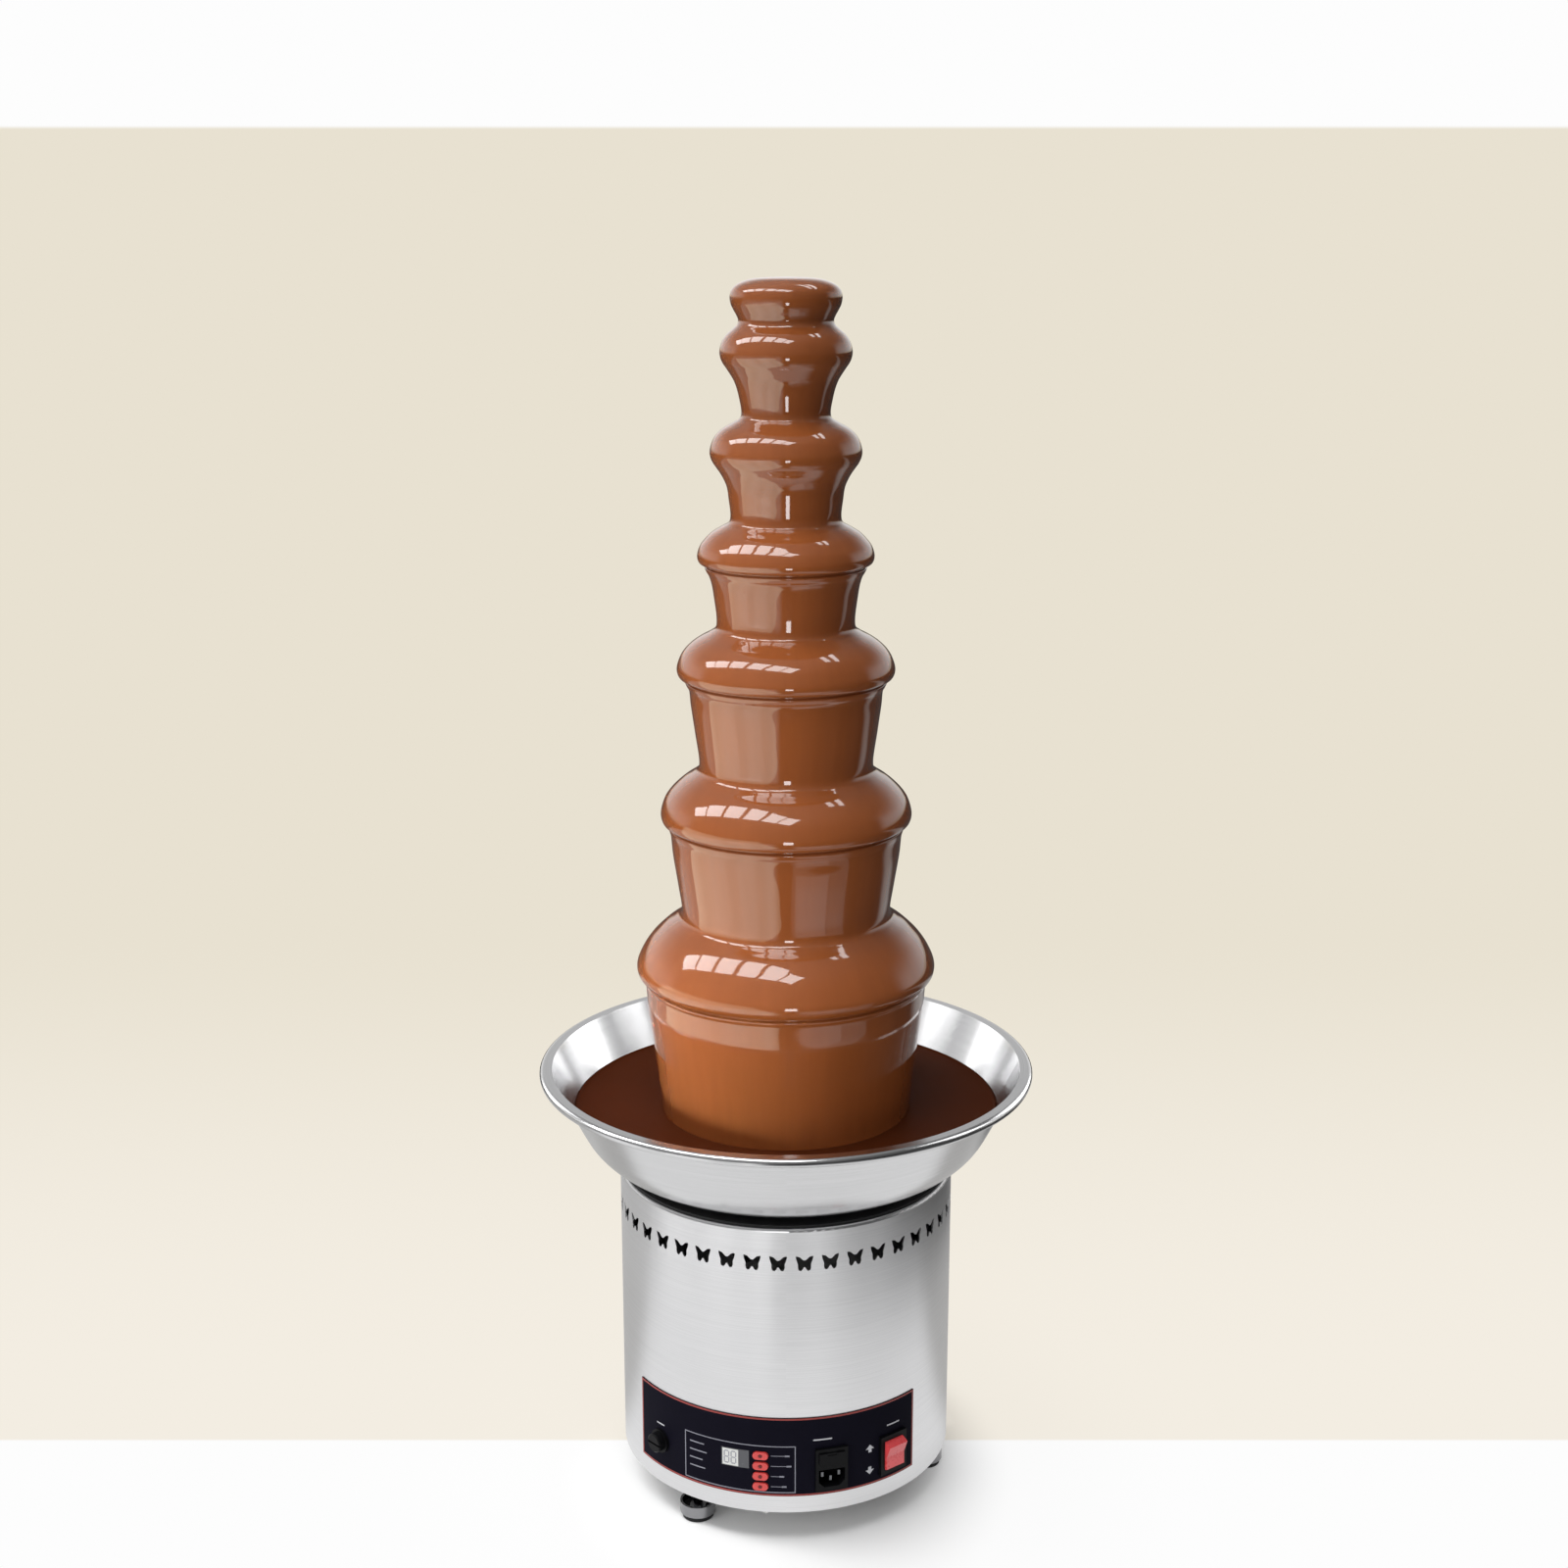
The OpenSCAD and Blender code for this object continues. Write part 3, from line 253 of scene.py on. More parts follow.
@dataclass(frozen=True)
class Finish:
    """A procedural surface."""

    name: str
    tone: Colour

    def material(self) -> bpy.types.Material:
        """Finds or makes the material.

        Returns:
            The material.
        """
        label = f"look_{self.name}"
        known = bpy.data.materials.get(label)
        if known is not None:
            return known
        made = bpy.data.materials.new(label)
        made.use_nodes = True
        graph = Graph(made.node_tree)
        shader = graph.make("ShaderNodeBsdfPrincipled")
        graph.make("ShaderNodeOutputMaterial", inputs={"Surface": shader})
        made.diffuse_color = rgb(*self.tone)
        self.paint(graph, shader.socket.node)
        return made

    def paint(self, graph: Graph, shader: bpy.types.Node) -> None:
        """Sets the shader's sockets.

        Args:
            graph: The material's graph.
            shader: Its Principled node.
        """
        raise NotImplementedError

    @staticmethod
    def feed(shader: bpy.types.Node, **values: PortLike) -> None:
        """Sets or links sockets whose names are given with underscores.

        Args:
            shader: The node.
            values: Constants or outputs.
        """
        for key, value in values.items():
            socket = shader.inputs[key.replace("_", " ")]
            if isinstance(value, Port):
                value.graph.tree.links.new(value.socket, socket)
            else:
                socket.default_value = value

    @staticmethod
    def uneven(mean: float, *swings: Tuple[Port, float]) -> Port:
        """Lets noises move a value about its mean.

        Args:
            mean: The mean.
            swings: Each noise and how far it moves the value from end to end.

        Returns:
            The uneven value.
        """
        first, *others = [(noise - 0.5) * swing for noise, swing in swings]
        return sum(others, first) + mean

    def shades(self, change: float) -> Tuple[Rgba, Rgba]:
        """Gives a darker and a lighter neighbour of the tone.

        Args:
            change: Share by which they differ.

        Returns:
            Two linear colours with alpha.
        """
        red, green, blue, alpha = rgb(*self.tone)
        dark, light = (
            (min(1.0, red * share), min(1.0, green * share), min(1.0, blue * share), alpha)
            for share in (1 - change, 1 + change)
        )
        return dark, light


@dataclass(frozen=True)
class Steel(Finish):
    """Brushed or polished sheet metal; brush is the number of its lines in a metre."""

    roughness: float = 0.26
    anisotropy: float = 0.6
    grain: Grain = Grain.ROUND
    relief: float = 0.25
    brush: float = 900.0
    brush_depth: float = 0.00006

    def paint(self, graph: Graph, shader: bpy.types.Node) -> None:
        """Draws brush lines, cloudy roughness and faint handling marks.

        Args:
            graph: The material's graph.
            shader: Its Principled node.
        """
        spot = graph.spot()
        x, y, z = graph.axes(spot)
        turned = self.grain is Grain.ROUND
        if turned:
            lines = graph.vector(
                x.math("ARCTAN2", y) * 0.5, x.hypot(y) * self.brush, z * self.brush
            )
        else:
            lines = graph.vector(x * 14.0, y * self.brush, z * self.brush)
        brushed = graph.noise(lines, 3.0, 3.0, 0.65)
        cloud = graph.noise(spot, 9.0, 3.0)
        marks = graph.noise(spot, 55.0, 4.0, 0.6)
        dark, light = self.shades(0.05)
        self.feed(
            shader,
            Base_Color=graph.blend(graph.span(brushed, 0.3, 0.7), dark, light),
            Metallic=1.0,
            Roughness=self.uneven(self.roughness, (cloud, 0.1), (marks, 0.05), (brushed, 0.12)),
            Anisotropic=self.anisotropy,
            Anisotropic_Rotation=0.25 if turned else 0.0,
            Normal=graph.bump(brushed, self.relief, self.brush_depth),
        )


@dataclass(frozen=True)
class Chocolate(Finish):
    """Melted chocolate, with painted shade that darkens it towards the crown between two heights.
    """

    roughness: float = 0.06
    coat: float = 0.5
    depth: float = 0.05
    shine: float = 0.5
    bleed: Colour = (1.0, 0.42, 0.2)
    # Painted shade on the crown: the two heights over which it sets in, and how much it darkens.
    crown_shade_heights: Pair = (0.8, 0.96)
    crown_shade_strength: float = 0.6
    wave_depth: float = 0.0012

    def paint(self, graph: Graph, shader: bpy.types.Node) -> None:
        """Draws slow streaks along the fall and a liquid, slightly wavy gloss.

        Args:
            graph: The material's graph.
            shader: Its Principled node.
        """
        spot = graph.spot()
        x, y, z = graph.axes(spot)
        fall = graph.vector(x.math("ARCTAN2", y) * 5.0, x.hypot(y) * 9.0, z * 5.0)
        streak = graph.noise(fall, 2.2, 4.0, 0.55)
        cloud = graph.noise(spot, 14.0, 3.0)
        wave = graph.noise(graph.vector(x, y, z * 0.35), 60.0)
        # Painted shade: a darker tone towards the crown, standing in for shade there.
        crown_painted_shade = graph.span(z, *self.crown_shade_heights, 0.0, self.crown_shade_strength)
        dark, light = self.shades(0.13)
        self.feed(
            shader,
            Base_Color=graph.blend(streak * 0.6 + cloud * 0.4 - crown_painted_shade, dark, light),
            Roughness=self.uneven(self.roughness, (cloud, 0.04), (streak, 0.04)),
            IOR=1.47,
            Coat_IOR=1.5,
            Coat_Weight=self.coat,
            Coat_Roughness=0.02,
            Specular_IOR_Level=self.shine,
            Subsurface_Weight=self.depth,
            Subsurface_Radius=self.bleed,
            Subsurface_Scale=0.003,
            Normal=graph.bump(wave, 0.025, self.wave_depth),
        )


@dataclass(frozen=True)
class Moulded(Finish):
    """Plastic, rubber or ink with a fine grain; cells is the number of its grains in a metre."""

    roughness: float = 0.4
    grain: float = 0.3
    cells: float = 1400.0
    glow: float = 0.0
    coat: float = 0.0
    shine: float = 0.5
    grain_depth: float = 0.00005

    def paint(self, graph: Graph, shader: bpy.types.Node) -> None:
        """Draws a fine grain, an uneven tone and an uneven gloss.

        Args:
            graph: The material's graph.
            shader: Its Principled node.
        """
        spot = graph.spot()
        fine = graph.noise(spot, self.cells)
        patch = graph.noise(spot, 60.0, 3.0)
        dark, light = self.shades(0.12)
        self.feed(
            shader,
            Base_Color=graph.blend(patch, dark, light),
            Roughness=self.uneven(self.roughness, (patch, 0.12), (fine, 0.08)),
            Specular_IOR_Level=self.shine,
            Coat_Weight=self.coat,
            Coat_Roughness=0.1,
            Emission_Color=rgb(*self.tone),
            Emission_Strength=self.glow,
            Normal=graph.bump(fine, self.grain, self.grain_depth),
        )


@dataclass(frozen=True)
class Metal(Finish):
    """Plain machined or cast metal; cells is the number of its grains in a metre."""

    roughness: float = 0.35
    cells: float = 220.0
    grain_depth: float = 0.00008

    def paint(self, graph: Graph, shader: bpy.types.Node) -> None:
        """Draws uneven gloss and faint staining.

        Args:
            graph: The material's graph.
            shader: Its Principled node.
        """
        spot = graph.spot()
        fine = graph.noise(spot, self.cells, 4.0, 0.6)
        stain = graph.noise(spot, 25.0, 3.0)
        dark, light = self.shades(0.18)
        self.feed(
            shader,
            Base_Color=graph.blend(stain * 0.6 + fine * 0.4, dark, light),
            Metallic=1.0,
            Roughness=self.uneven(self.roughness, (fine, 0.18)),
            Normal=graph.bump(fine, 0.2, self.grain_depth),
        )


STEEL = Steel("satin_steel", (221, 221, 222), 0.34, anisotropy=0.25, relief=0.1)
BOWL_STEEL = Steel("bowl_steel", (208, 208, 209), 0.2, anisotropy=0.7, relief=0.12)
PLATE_STEEL = Steel("plate_steel", (205, 205, 204), 0.34, anisotropy=0.3, grain=Grain.STRAIGHT)
FOOT_STEEL = Metal("turned_steel", (190, 190, 188), 0.26)
CHROME = Metal("chrome", (148, 148, 150), 0.16)
DARK_STEEL = Metal("dark_steel", (120, 121, 124), 0.4)
BRONZE = Metal("bronze", (176, 136, 84), 0.36)
COPPER = Metal("winding", (170, 98, 58), 0.42, cells=900.0)
IRON = Metal("laminations", (112, 112, 116), 0.5)
CAST = Metal("heater_cast", (176, 176, 178), 0.5, cells=500.0)
MILK = Chocolate("milk_chocolate", (132, 72, 36))
# Painted shade: the pool is the same chocolate as the falls, painted darker.
SHADED_CHOCOLATE = Chocolate("dark_chocolate", (72, 32, 13), 0.6, coat=0.0, depth=0.03, shine=0.03)
BLACK = Moulded("black_plastic", (13, 13, 15), 0.42, shine=0.12)
FILM = Moulded("panel_film", (20, 19, 29), 0.55, grain=0.15, cells=900.0, shine=0.02)
RUBBER = Moulded("rubber", (26, 26, 27), 0.7, grain=0.5, cells=700.0)
NYLON = Moulded("nylon", (226, 221, 206), 0.5)
BOARD = Moulded("circuit_board", (28, 92, 52), 0.45)
RED = Moulded("red_plastic", (208, 62, 60), 0.3, grain=0.1, cells=800.0, glow=0.06, coat=0.4)
ROCKER_RED = Moulded(
    "rocker_red", (220, 72, 76), 0.28, grain=0.12, cells=500.0, glow=0.12, coat=0.5
)
DEEP_RED = Moulded("deep_red", (104, 20, 24), 0.35)
BORDER = Moulded("border_ink", (150, 54, 48), 0.4)
GREY_INK = Moulded("grey_ink", (138, 139, 150), 0.45)
PALE_INK = Moulded("pale_ink", (200, 201, 206), 0.45)
WHITE_GLASS = Moulded(
    "display_white", (214, 215, 212), 0.25, grain=0.1, cells=900.0, glow=0.05, coat=0.4
)
GREY_GLASS = Moulded("display_grey", (74, 75, 80), 0.25, grain=0.1, cells=900.0, coat=0.5)


def new_piece(
    name: str,
    points: Sequence[Sequence[float]],
    faces: Sequence[Sequence[int]],
    paint: bpy.types.Material,
    smooth: bool,
) -> bpy.types.Object:
    """Makes a mesh object.

    Args:
        name: The piece's name.
        points: Its vertices in metres.
        faces: Its faces.
        paint: Its material.
        smooth: Whether it is shaded smoothly.

    Returns:
        The object.
    """
    mesh = bpy.data.meshes.new(name)
    mesh.from_pydata([tuple(p) for p in points], [], [tuple(f) for f in faces])
    mesh.polygons.foreach_set("use_smooth", [smooth] * len(mesh.polygons))
    mesh.materials.append(paint)
    mesh.validate()
    mesh.update()
    made = bpy.data.objects.new(name, mesh)
    bpy.context.scene.collection.objects.link(made)
    return made


def curve_through(knots: Sequence[Pair], steps: int) -> List[Pair]:
    """Draws a smooth line through knots.

    Args:
        knots: Points as radius and height.
        steps: Points per stretch.

    Returns:
        The finer points, both ends included.
    """
    fine: List[Pair] = []
    last = len(knots) - 1
    for k in range(last):
        a, b, c, d = (Vector(knots[min(max(k + j, 0), last)]) for j in (-1, 0, 1, 2))
        ab, bc, cd = (max((q - p).length, 1e-9) ** 0.5 for p, q in ((a, b), (b, c), (c, d)))
        lean_b = lean_c = (c - b) / bc
        if k > 0:
            lean_b = (b - a) / ab - (c - a) / (ab + bc) + (c - b) / bc
        if k < last - 1:
            lean_c = (c - b) / bc - (d - b) / (bc + cd) + (d - c) / cd
        for s in range(steps):
            t = s / steps
            h = (2 * t**3 - 3 * t**2 + 1, t**3 - 2 * t**2 + t, 3 * t**2 - 2 * t**3, t**3 - t**2)
            p = b * h[0] + lean_b * bc * h[1] + c * h[2] + lean_c * bc * h[3]
            fine.append((p.x, p.y))
    fine.append(tuple(knots[-1]))
    return fine


def inner_line(line: Sequence[Pair], wall: float, reach: int = 3) -> List[Pair]:
    """Moves a profile inwards by a wall's thickness.

    Args:
        line: The outer profile from top to bottom.
        wall: The thickness.
        reach: How many points to each side give the direction at a point.

    Returns:
        The inner profile, in the same order.
    """
    moved: List[Pair] = []
    for k, (r, z) in enumerate(line):
        before = Vector(line[max(k - reach, 0)])
        after = Vector(line[min(k + reach, len(line) - 1)])
        along = (after - before).normalized()
        moved.append((max(r + along.y * wall, 0.0), z - along.x * wall))
    return moved


def lathe(
    name: str, line: Sequence[Pair], sides: int, finish: Finish, wobble: Optional[Wobble] = None
) -> bpy.types.Object:
    """Turns a closed profile about the axis.

    Args:
        name: The piece's name.
        line: Profile in millimetres, whose last point joins the first.
        sides: Number of steps round the axis.
        finish: Its surface.
        wobble: Optional change of the radius, from angle, radius and height.

    Returns:
        The object.
    """
    points: List[Vector] = []
    rings: List[List[int]] = []
    for r, z in line:
        if r < 1e-6:
            rings.append([len(points)] * sides)
            points.append(Vector((0, 0, z)) * MM)
            continue
        rings.append(list(range(len(points), len(points) + sides)))
        for s in range(sides):
            a = math.tau * s / sides
            q = r + (wobble(a, r, z) if wobble else 0.0)
            points.append(Vector((q * math.cos(a), q * math.sin(a), z)) * MM)
    faces: List[List[int]] = []
    for k, low in enumerate(rings):
        high = rings[(k + 1) % len(rings)]
        for s in range(sides):
            t = (s + 1) % sides
            face = list(dict.fromkeys((low[s], high[s], high[t], low[t])))
            if len(face) > 2:
                faces.append(face)
    return new_piece(name, points, faces, finish.material(), True)


class SubAssembly:
    """Nodes of the frame that belong together, with the finish of each."""

    finishes: ClassVar[Dict[str, Finish]] = {}

    def finish_of(self, node: str) -> Optional[Finish]:
        """Finds the finish of a node of the frame.

        Args:
            node: The node's name, which may end in a number or side.

        Returns:
            The finish, or nothing where the node belongs to another sub-assembly.
        """
        name = node
        while name not in self.finishes and "_" in name:
            name = name.rsplit("_", 1)[0]
        return self.finishes.get(name)

    def dress(self) -> List[bpy.types.Object]:
        """Gives the nodes their finishes.

        Returns:
            The nodes.
        """
        dressed: List[bpy.types.Object] = []
        for name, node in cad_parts.items():
            finish = self.finish_of(name)
            if finish is not None:
                node.data.materials.clear()
                node.data.materials.append(finish.material())
                dressed.append(node)
        return dressed

    def build(self) -> List[bpy.types.Object]:
        """Returns the pieces made beyond the frame's nodes, of which most have none."""
        return []


class Base(SubAssembly):
    """The round casing, its bottom and its levelling feet."""

    finishes = {
        "base_shell": STEEL, "bottom_plate": PLATE_STEEL, "bottom_screws": FOOT_STEEL,
        "foot_nuts": FOOT_STEEL, "foot_cup": CHROME, "foot_pad": RUBBER,
    }


class Basin(SubAssembly):
    """The bowl with its carrier and heater."""

    finishes = {
        "deck_plate": PLATE_STEEL, "bowl_gasket": RUBBER, "bowl": BOWL_STEEL,
        "bowl_nuts": DARK_STEEL, "heater_plate": CAST, "bowl_thermostat": BRONZE,
    }


class Drive(SubAssembly):
    """The motor, the gear train and the sealed shaft."""

    finishes = {
        "shaft_hub": FOOT_STEEL, "shaft_seal": RUBBER, "shaft_bushes": BRONZE,
        "drive_shaft": FOOT_STEEL, "drive_gear": BRONZE, "drive_screws": DARK_STEEL,
        "idler_gear": NYLON, "idler_pin": FOOT_STEEL, "gear_plate": PLATE_STEEL,
        "gear_pillars": FOOT_STEEL, "motor_pinion": BRONZE, "motor_rotor": IRON,
        "motor_stator": IRON, "motor_coil": COPPER, "motor_brackets": FOOT_STEEL,
    }


class Tower(SubAssembly):
    """The tube, its tiers and crown, and the auger inside."""

    finishes = {
        "tower_tube": STEEL, "tier": STEEL, "tier_screws": DARK_STEEL, "crown": STEEL,
        "auger_shaft": STEEL, "auger_flight": STEEL,
    }


@dataclass
class Flow(SubAssembly):
    """Chocolate that wells up at the crown and falls from level to level into its pool.

    The knots of crown and levels are radius and height, from the top down. Swell and streak are
    the heights of the slow and the fine ripple, which are whole from full_r outwards. Foot is the
    end of the last fall. The pool laps under it, and rings run out over the pool from it. The
    meniscus is the pool's rise at the bowl, as distance from the bowl and height.
    """

    finishes = {"chocolate_pool": SHADED_CHOCOLATE, "chocolate_curtains": MILK, "chocolate_crown": MILK}

    wall: float = 1.6
    sides: int = 288
    steps: int = 6
    swell: float = 0.14
    streak: float = 0.012
    full_r: float = 60.0
    foot_r: float = 103.4
    foot_rise: float = 0.4
    foot_dip: Pair = (0.2, 3.0)
    pool_z: float = 328.2
    pool_depth: float = 6.0
    pool_lap: float = 4.0
    pool_points: int = 26
    pool_margins: Pair = (2.0, 3.0)
    pool_corner: Pair = (1.2, 4.0)
    bowl_r: float = 175.4
    ring_height: float = 0.22
    ring_fade: float = 14.0
    ring_width: float = 2.2
    meniscus: Tuple[Pair, ...] = ((1.6, 0.2), (0.6, 0.7), (0.0, 1.4))
    crown: Tuple[Pair, ...] = (
        (0, 1003.2), (16, 1002.7), (26, 1001.7), (33, 999.8), (39, 996.7), (42.4, 992.8),
        (43.4, 988.2), (42.6, 982.6), (40.4, 978), (38.2, 974), (37, 970.6),
    )
    levels: Tuple[Tuple[Pair, ...], ...] = (
        (
            (38, 967.2), (41, 964.2), (45.6, 960.2), (48.8, 956), (50.6, 951.8), (51.5, 946.4),
            (50.9, 942.2), (49.2, 938.2), (46.6, 934.4), (43.8, 930.2), (41.2, 926), (38.7, 920),
            (36.2, 910), (34.8, 901),
        ),
        (
            (35.6, 896.4), (41.4, 892.6), (48.6, 888.6), (53.6, 884.4), (57, 879.6), (59.6, 871),
            (59.1, 866.2), (57.2, 861.8), (54.4, 857.8), (51.6, 853.8), (49.2, 849.6),
            (46.4, 843), (44.9, 833), (43.6, 820),
        ),
        (
            (44.8, 815.2), (51.8, 811), (59.2, 806.4), (64, 801.6), (67.9, 796.4), (70, 789.4),
            (69.4, 785.4), (67.8, 783.2), (65.6, 782.4), (62.8, 781.8), (62.6, 780.8),
            (64, 779.5), (62.9, 776.6), (61, 773.4), (58.9, 767), (57.2, 757), (55, 737),
        ),
        (
            (56, 731.2), (61.4, 727), (70.2, 722.2), (76.4, 717.8), (81.2, 713), (84.6, 707.6),
            (87.3, 699), (86.7, 694.8), (85, 692.2), (82.4, 691.3), (79.4, 690.7), (79.2, 689.6),
            (80.7, 688.2), (79.7, 685.2), (77.9, 682), (76.6, 670), (73.6, 648), (70.2, 621),
        ),
        (
            (71.4, 616), (76, 612), (83.8, 606.8), (90, 601.6), (95, 596.4), (98.8, 590.6),
            (101.7, 580.6), (101.2, 576), (99.6, 573.2), (97, 572.2), (93.9, 571.5),
            (93.7, 570.4), (95.4, 568.9), (94.9, 565.8), (94, 563), (92.4, 547), (88.2, 520),
            (85.4, 499),
        ),
        (
            (86.6, 493.6), (92, 489.2), (99.6, 484), (106, 478.4), (111.6, 472.6), (117.8, 463.6),
            (122.4, 452.6), (122, 447.4), (120.4, 444.2), (117.9, 443.1), (114.6, 442.4),
            (114.4, 441.2), (116.1, 439.7), (115.5, 436.2), (115.2, 433), (113.6, 412),
            (110, 386), (105, 345), (103.6, 332.6),
        ),
    )

    def ripple(self, angle: float, r: float, z: float) -> float:
        """Gives the uneven thickness of the falling sheets.

        Args:
            angle: Angle about the axis.
            r: Radius.
            z: Height.

        Returns:
            Change of the radius in millimetres.
        """
        slow = math.sin(3 * angle + z * 0.013) + 0.6 * math.sin(7 * angle - z * 0.021 + 1.3)
        bend = 0.6 * math.sin(z * 0.05)
        fine = math.sin(23 * angle + bend) + 0.5 * math.sin(41 * angle + z * 0.01)
        return (self.swell * slow + self.streak * fine) * min(1.0, r / self.full_r)

    def falls(self) -> bpy.types.Object:
        """Makes the falling chocolate, from the crown to the pool.

        Returns:
            The piece.
        """
        knots: List[Pair] = list(self.crown)
        for level in self.levels:
            knots.extend(level)
        knots.append((self.foot_r, self.pool_z + self.foot_rise))
        outer = curve_through(knots, self.steps)
        inward, down = self.foot_dip
        outer.append((self.foot_r - inward, self.pool_z - down))
        inner = inner_line(outer, self.wall)
        falls = lathe("chocolate_flow", outer + inner[::-1], self.sides, MILK, self.ripple)
        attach(falls, BODY)
        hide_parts("chocolate_curtains", "chocolate_crown")
        return falls

    def pool(self) -> bpy.types.Object:
        """Makes the pool in the bowl.

        Returns:
            The piece.
        """
        start, end = self.pool_margins
        width = self.bowl_r - self.foot_r - start - end
        top: List[Pair] = [(self.foot_r - self.pool_lap, self.pool_z)]
        for k in range(self.pool_points):
            r = self.foot_r + start + width * k / (self.pool_points - 1)
            out = r - self.foot_r
            height = self.ring_height * math.exp(-out / self.ring_fade)
            top.append((r, self.pool_z + height * math.cos(out / self.ring_width)))
        top += [(self.bowl_r - inward, self.pool_z + rise) for inward, rise in self.meniscus]
        inward, down = self.pool_corner
        bed = self.pool_z - self.pool_depth
        low = [
            (self.bowl_r - inward, self.pool_z - down),
            (self.bowl_r - self.pool_depth, bed),
            (self.foot_r - self.pool_lap, bed),
        ]
        pool = lathe("chocolate_pool_surface", top + low, self.sides, SHADED_CHOCOLATE)
        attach(pool, BODY)
        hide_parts("chocolate_pool")
        return pool

    def build(self) -> List[bpy.types.Object]:
        """Makes the falling chocolate and the pool in place of their plain solids."""
        return [self.falls(), self.pool()]


@dataclass
class Panel(SubAssembly):
    """The control panel with its switches, its printing, its display and its button marks.

    Places on the film are an azimuth in degrees and a height in millimetres. A box is its left,
    right, low and high edge. A lead is a thin line from a button with a thick tip. An arrow's
    rises are its tip, root and tail about its middle. A digit's strokes across have an inset, a
    width and a thickness, and its upright ones a distance, a width and a height. The rings of a
    button's dot are distance from the axis and radius.
    """

    finishes = {
        "panel_overlay": FILM, "control_board": BOARD, "display_module": GREY_GLASS,
        "button": RED, "inlet_body": BLACK, "inlet_pins": DARK_STEEL, "fuse_drawer": BLACK,
        "fuse_holder": BLACK, "fuse_cap": BLACK, "rocker_housing": BLACK, "rocker": ROCKER_RED,
    }

    film_r: float = 140.2
    ink: float = 0.06
    strip: float = 1.5
    film_box: Box = (-58.6, 48.4, 43.0, 113.0)
    border_inset: Pair = (0.1, 0.3)
    border_width: float = 1.5
    field_box: Box = (-36.0, 3.2, 46.0, 88.0)
    field_width: float = 0.8
    button_top: float = 79.2
    button_pitch: float = 9.2
    buttons: int = 4
    lead_left: float = -5.0
    lead_ends: Tuple[float, ...] = (1.2, 1.8, -0.6, 0.2)
    lead_tip: float = 1.6
    lead_halves: Pair = (0.25, 0.7)
    row_left: float = -34.0
    row_top: float = 80.0
    row_pitch: float = 7.2
    row_half: float = 0.5
    row_lengths: Tuple[float, ...] = (5.6, 6.6, 5.0, 6.0)
    arrow_box: Pair = (27.6, 30.8)
    arrow_stem: Pair = (28.6, 29.8)
    arrow_tip: float = 29.2
    arrows: Tuple[Tuple[int, float], ...] = ((1, 75.5), (-1, 56.0))
    arrow_rises: Place = (3.6, -0.4, -3.2)
    strokes: Tuple[Box, ...] = (
        (9.0, 15.4, 92.0, 93.2), (36.0, 41.4, 90.6, 91.8), (-49.4, -45.6, 81.6, 82.6),
    )
    display_box: Box = (-21.5, -16.0, 67.2, 81.8)
    display_lift: float = 0.2
    digit_lift: float = 0.26
    digit_starts: Pair = (-21.0, -18.6)
    digit_across: Place = (0.3, 1.3, 0.9)
    digit_across_z: Place = (79.4, 74.1, 68.8)
    digit_upright: Place = (1.6, 0.35, 4.2)
    digit_upright_z: Pair = (75.1, 69.8)
    board_az: float = -14.0
    dot_across: float = 13.6
    dot_sides: int = 24
    dot_rings: Tuple[Pair, ...] = ((140.5, 1.62), (141.0, 1.62), (141.25, 1.2))
    dot_tip: float = 141.3

    def strips(self, outline: Sequence[Pair]) -> List[List[Vector]]:
        """Cuts a quad into upright strips, narrow enough to follow the panel's curve.

        Args:
            outline: The corners of a quad, or of a triangle, which stays whole.

        Returns:
            The corners of each strip.
        """
        corners = [Vector(v) for v in outline]
        if len(corners) != 4:
            return [corners]
        p, q, r, s = corners
        width = max(a for a, _ in outline) - min(a for a, _ in outline)
        cuts = max(1, int(width / self.strip))
        shares = [c / cuts for c in range(cuts + 1)]
        return [
            [p.lerp(q, t), p.lerp(q, u), s.lerp(r, u), s.lerp(r, t)]
            for t, u in zip(shares, shares[1:])
        ]

    def patch(
        self,
        name: str,
        outlines: Sequence[Sequence[Pair]],
        finish: Finish,
        lift: float = 0.0,
        slot: str = "panel_film",
    ) -> bpy.types.Object:
        """Makes flat shapes of ink that follow the panel's curve.

        Args:
            name: The piece's name.
            outlines: Quads or triangles, anticlockwise from outside.
            finish: Its surface.
            lift: Distance from the film to the ink's back.
            slot: Not used.

        Returns:
            The object.
        """
        points: List[Place] = []
        faces: List[List[int]] = []
        for ring in (strip for outline in outlines for strip in self.strips(outline)):
            first, n = len(points), len(ring)
            for depth in (lift, lift + self.ink):
                radius = self.film_r + depth
                for v in ring:
                    a = math.radians(v.x)
                    points.append((radius * math.sin(a) * MM, -radius * math.cos(a) * MM, v.y * MM))
            back, front = range(first, first + n), range(first + n, first + 2 * n)
            faces += [list(reversed(back)), list(front)]
            for k in range(n):
                t = (k + 1) % n
                faces.append([back[k], back[t], front[t], front[k]])
        made = new_piece(name, points, faces, finish.material(), False)
        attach(made, BODY)
        return made

    @staticmethod
    def bar(a0: float, a1: float, z0: float, z1: float) -> List[Pair]:
        """Returns the corners of a rectangle from its left, right, low and high edge."""
        return [(a0, z0), (a1, z0), (a1, z1), (a0, z1)]

    def outline(self, box: Box, width: float) -> List[List[Pair]]:
        """Draws the four lines of a frame.

        Args:
            box: The frame's left, right, low and high edge.
            width: Width of a line.

        Returns:
            Four rectangles.
        """
        a0, a1, z0, z1 = box
        side = math.degrees(width / self.film_r)
        return [
            self.bar(a0, a1, z0, z0 + width),
            self.bar(a0, a1, z1 - width, z1),
            self.bar(a0, a0 + side, z0 + width, z1 - width),
            self.bar(a1 - side, a1, z0 + width, z1 - width),
        ]

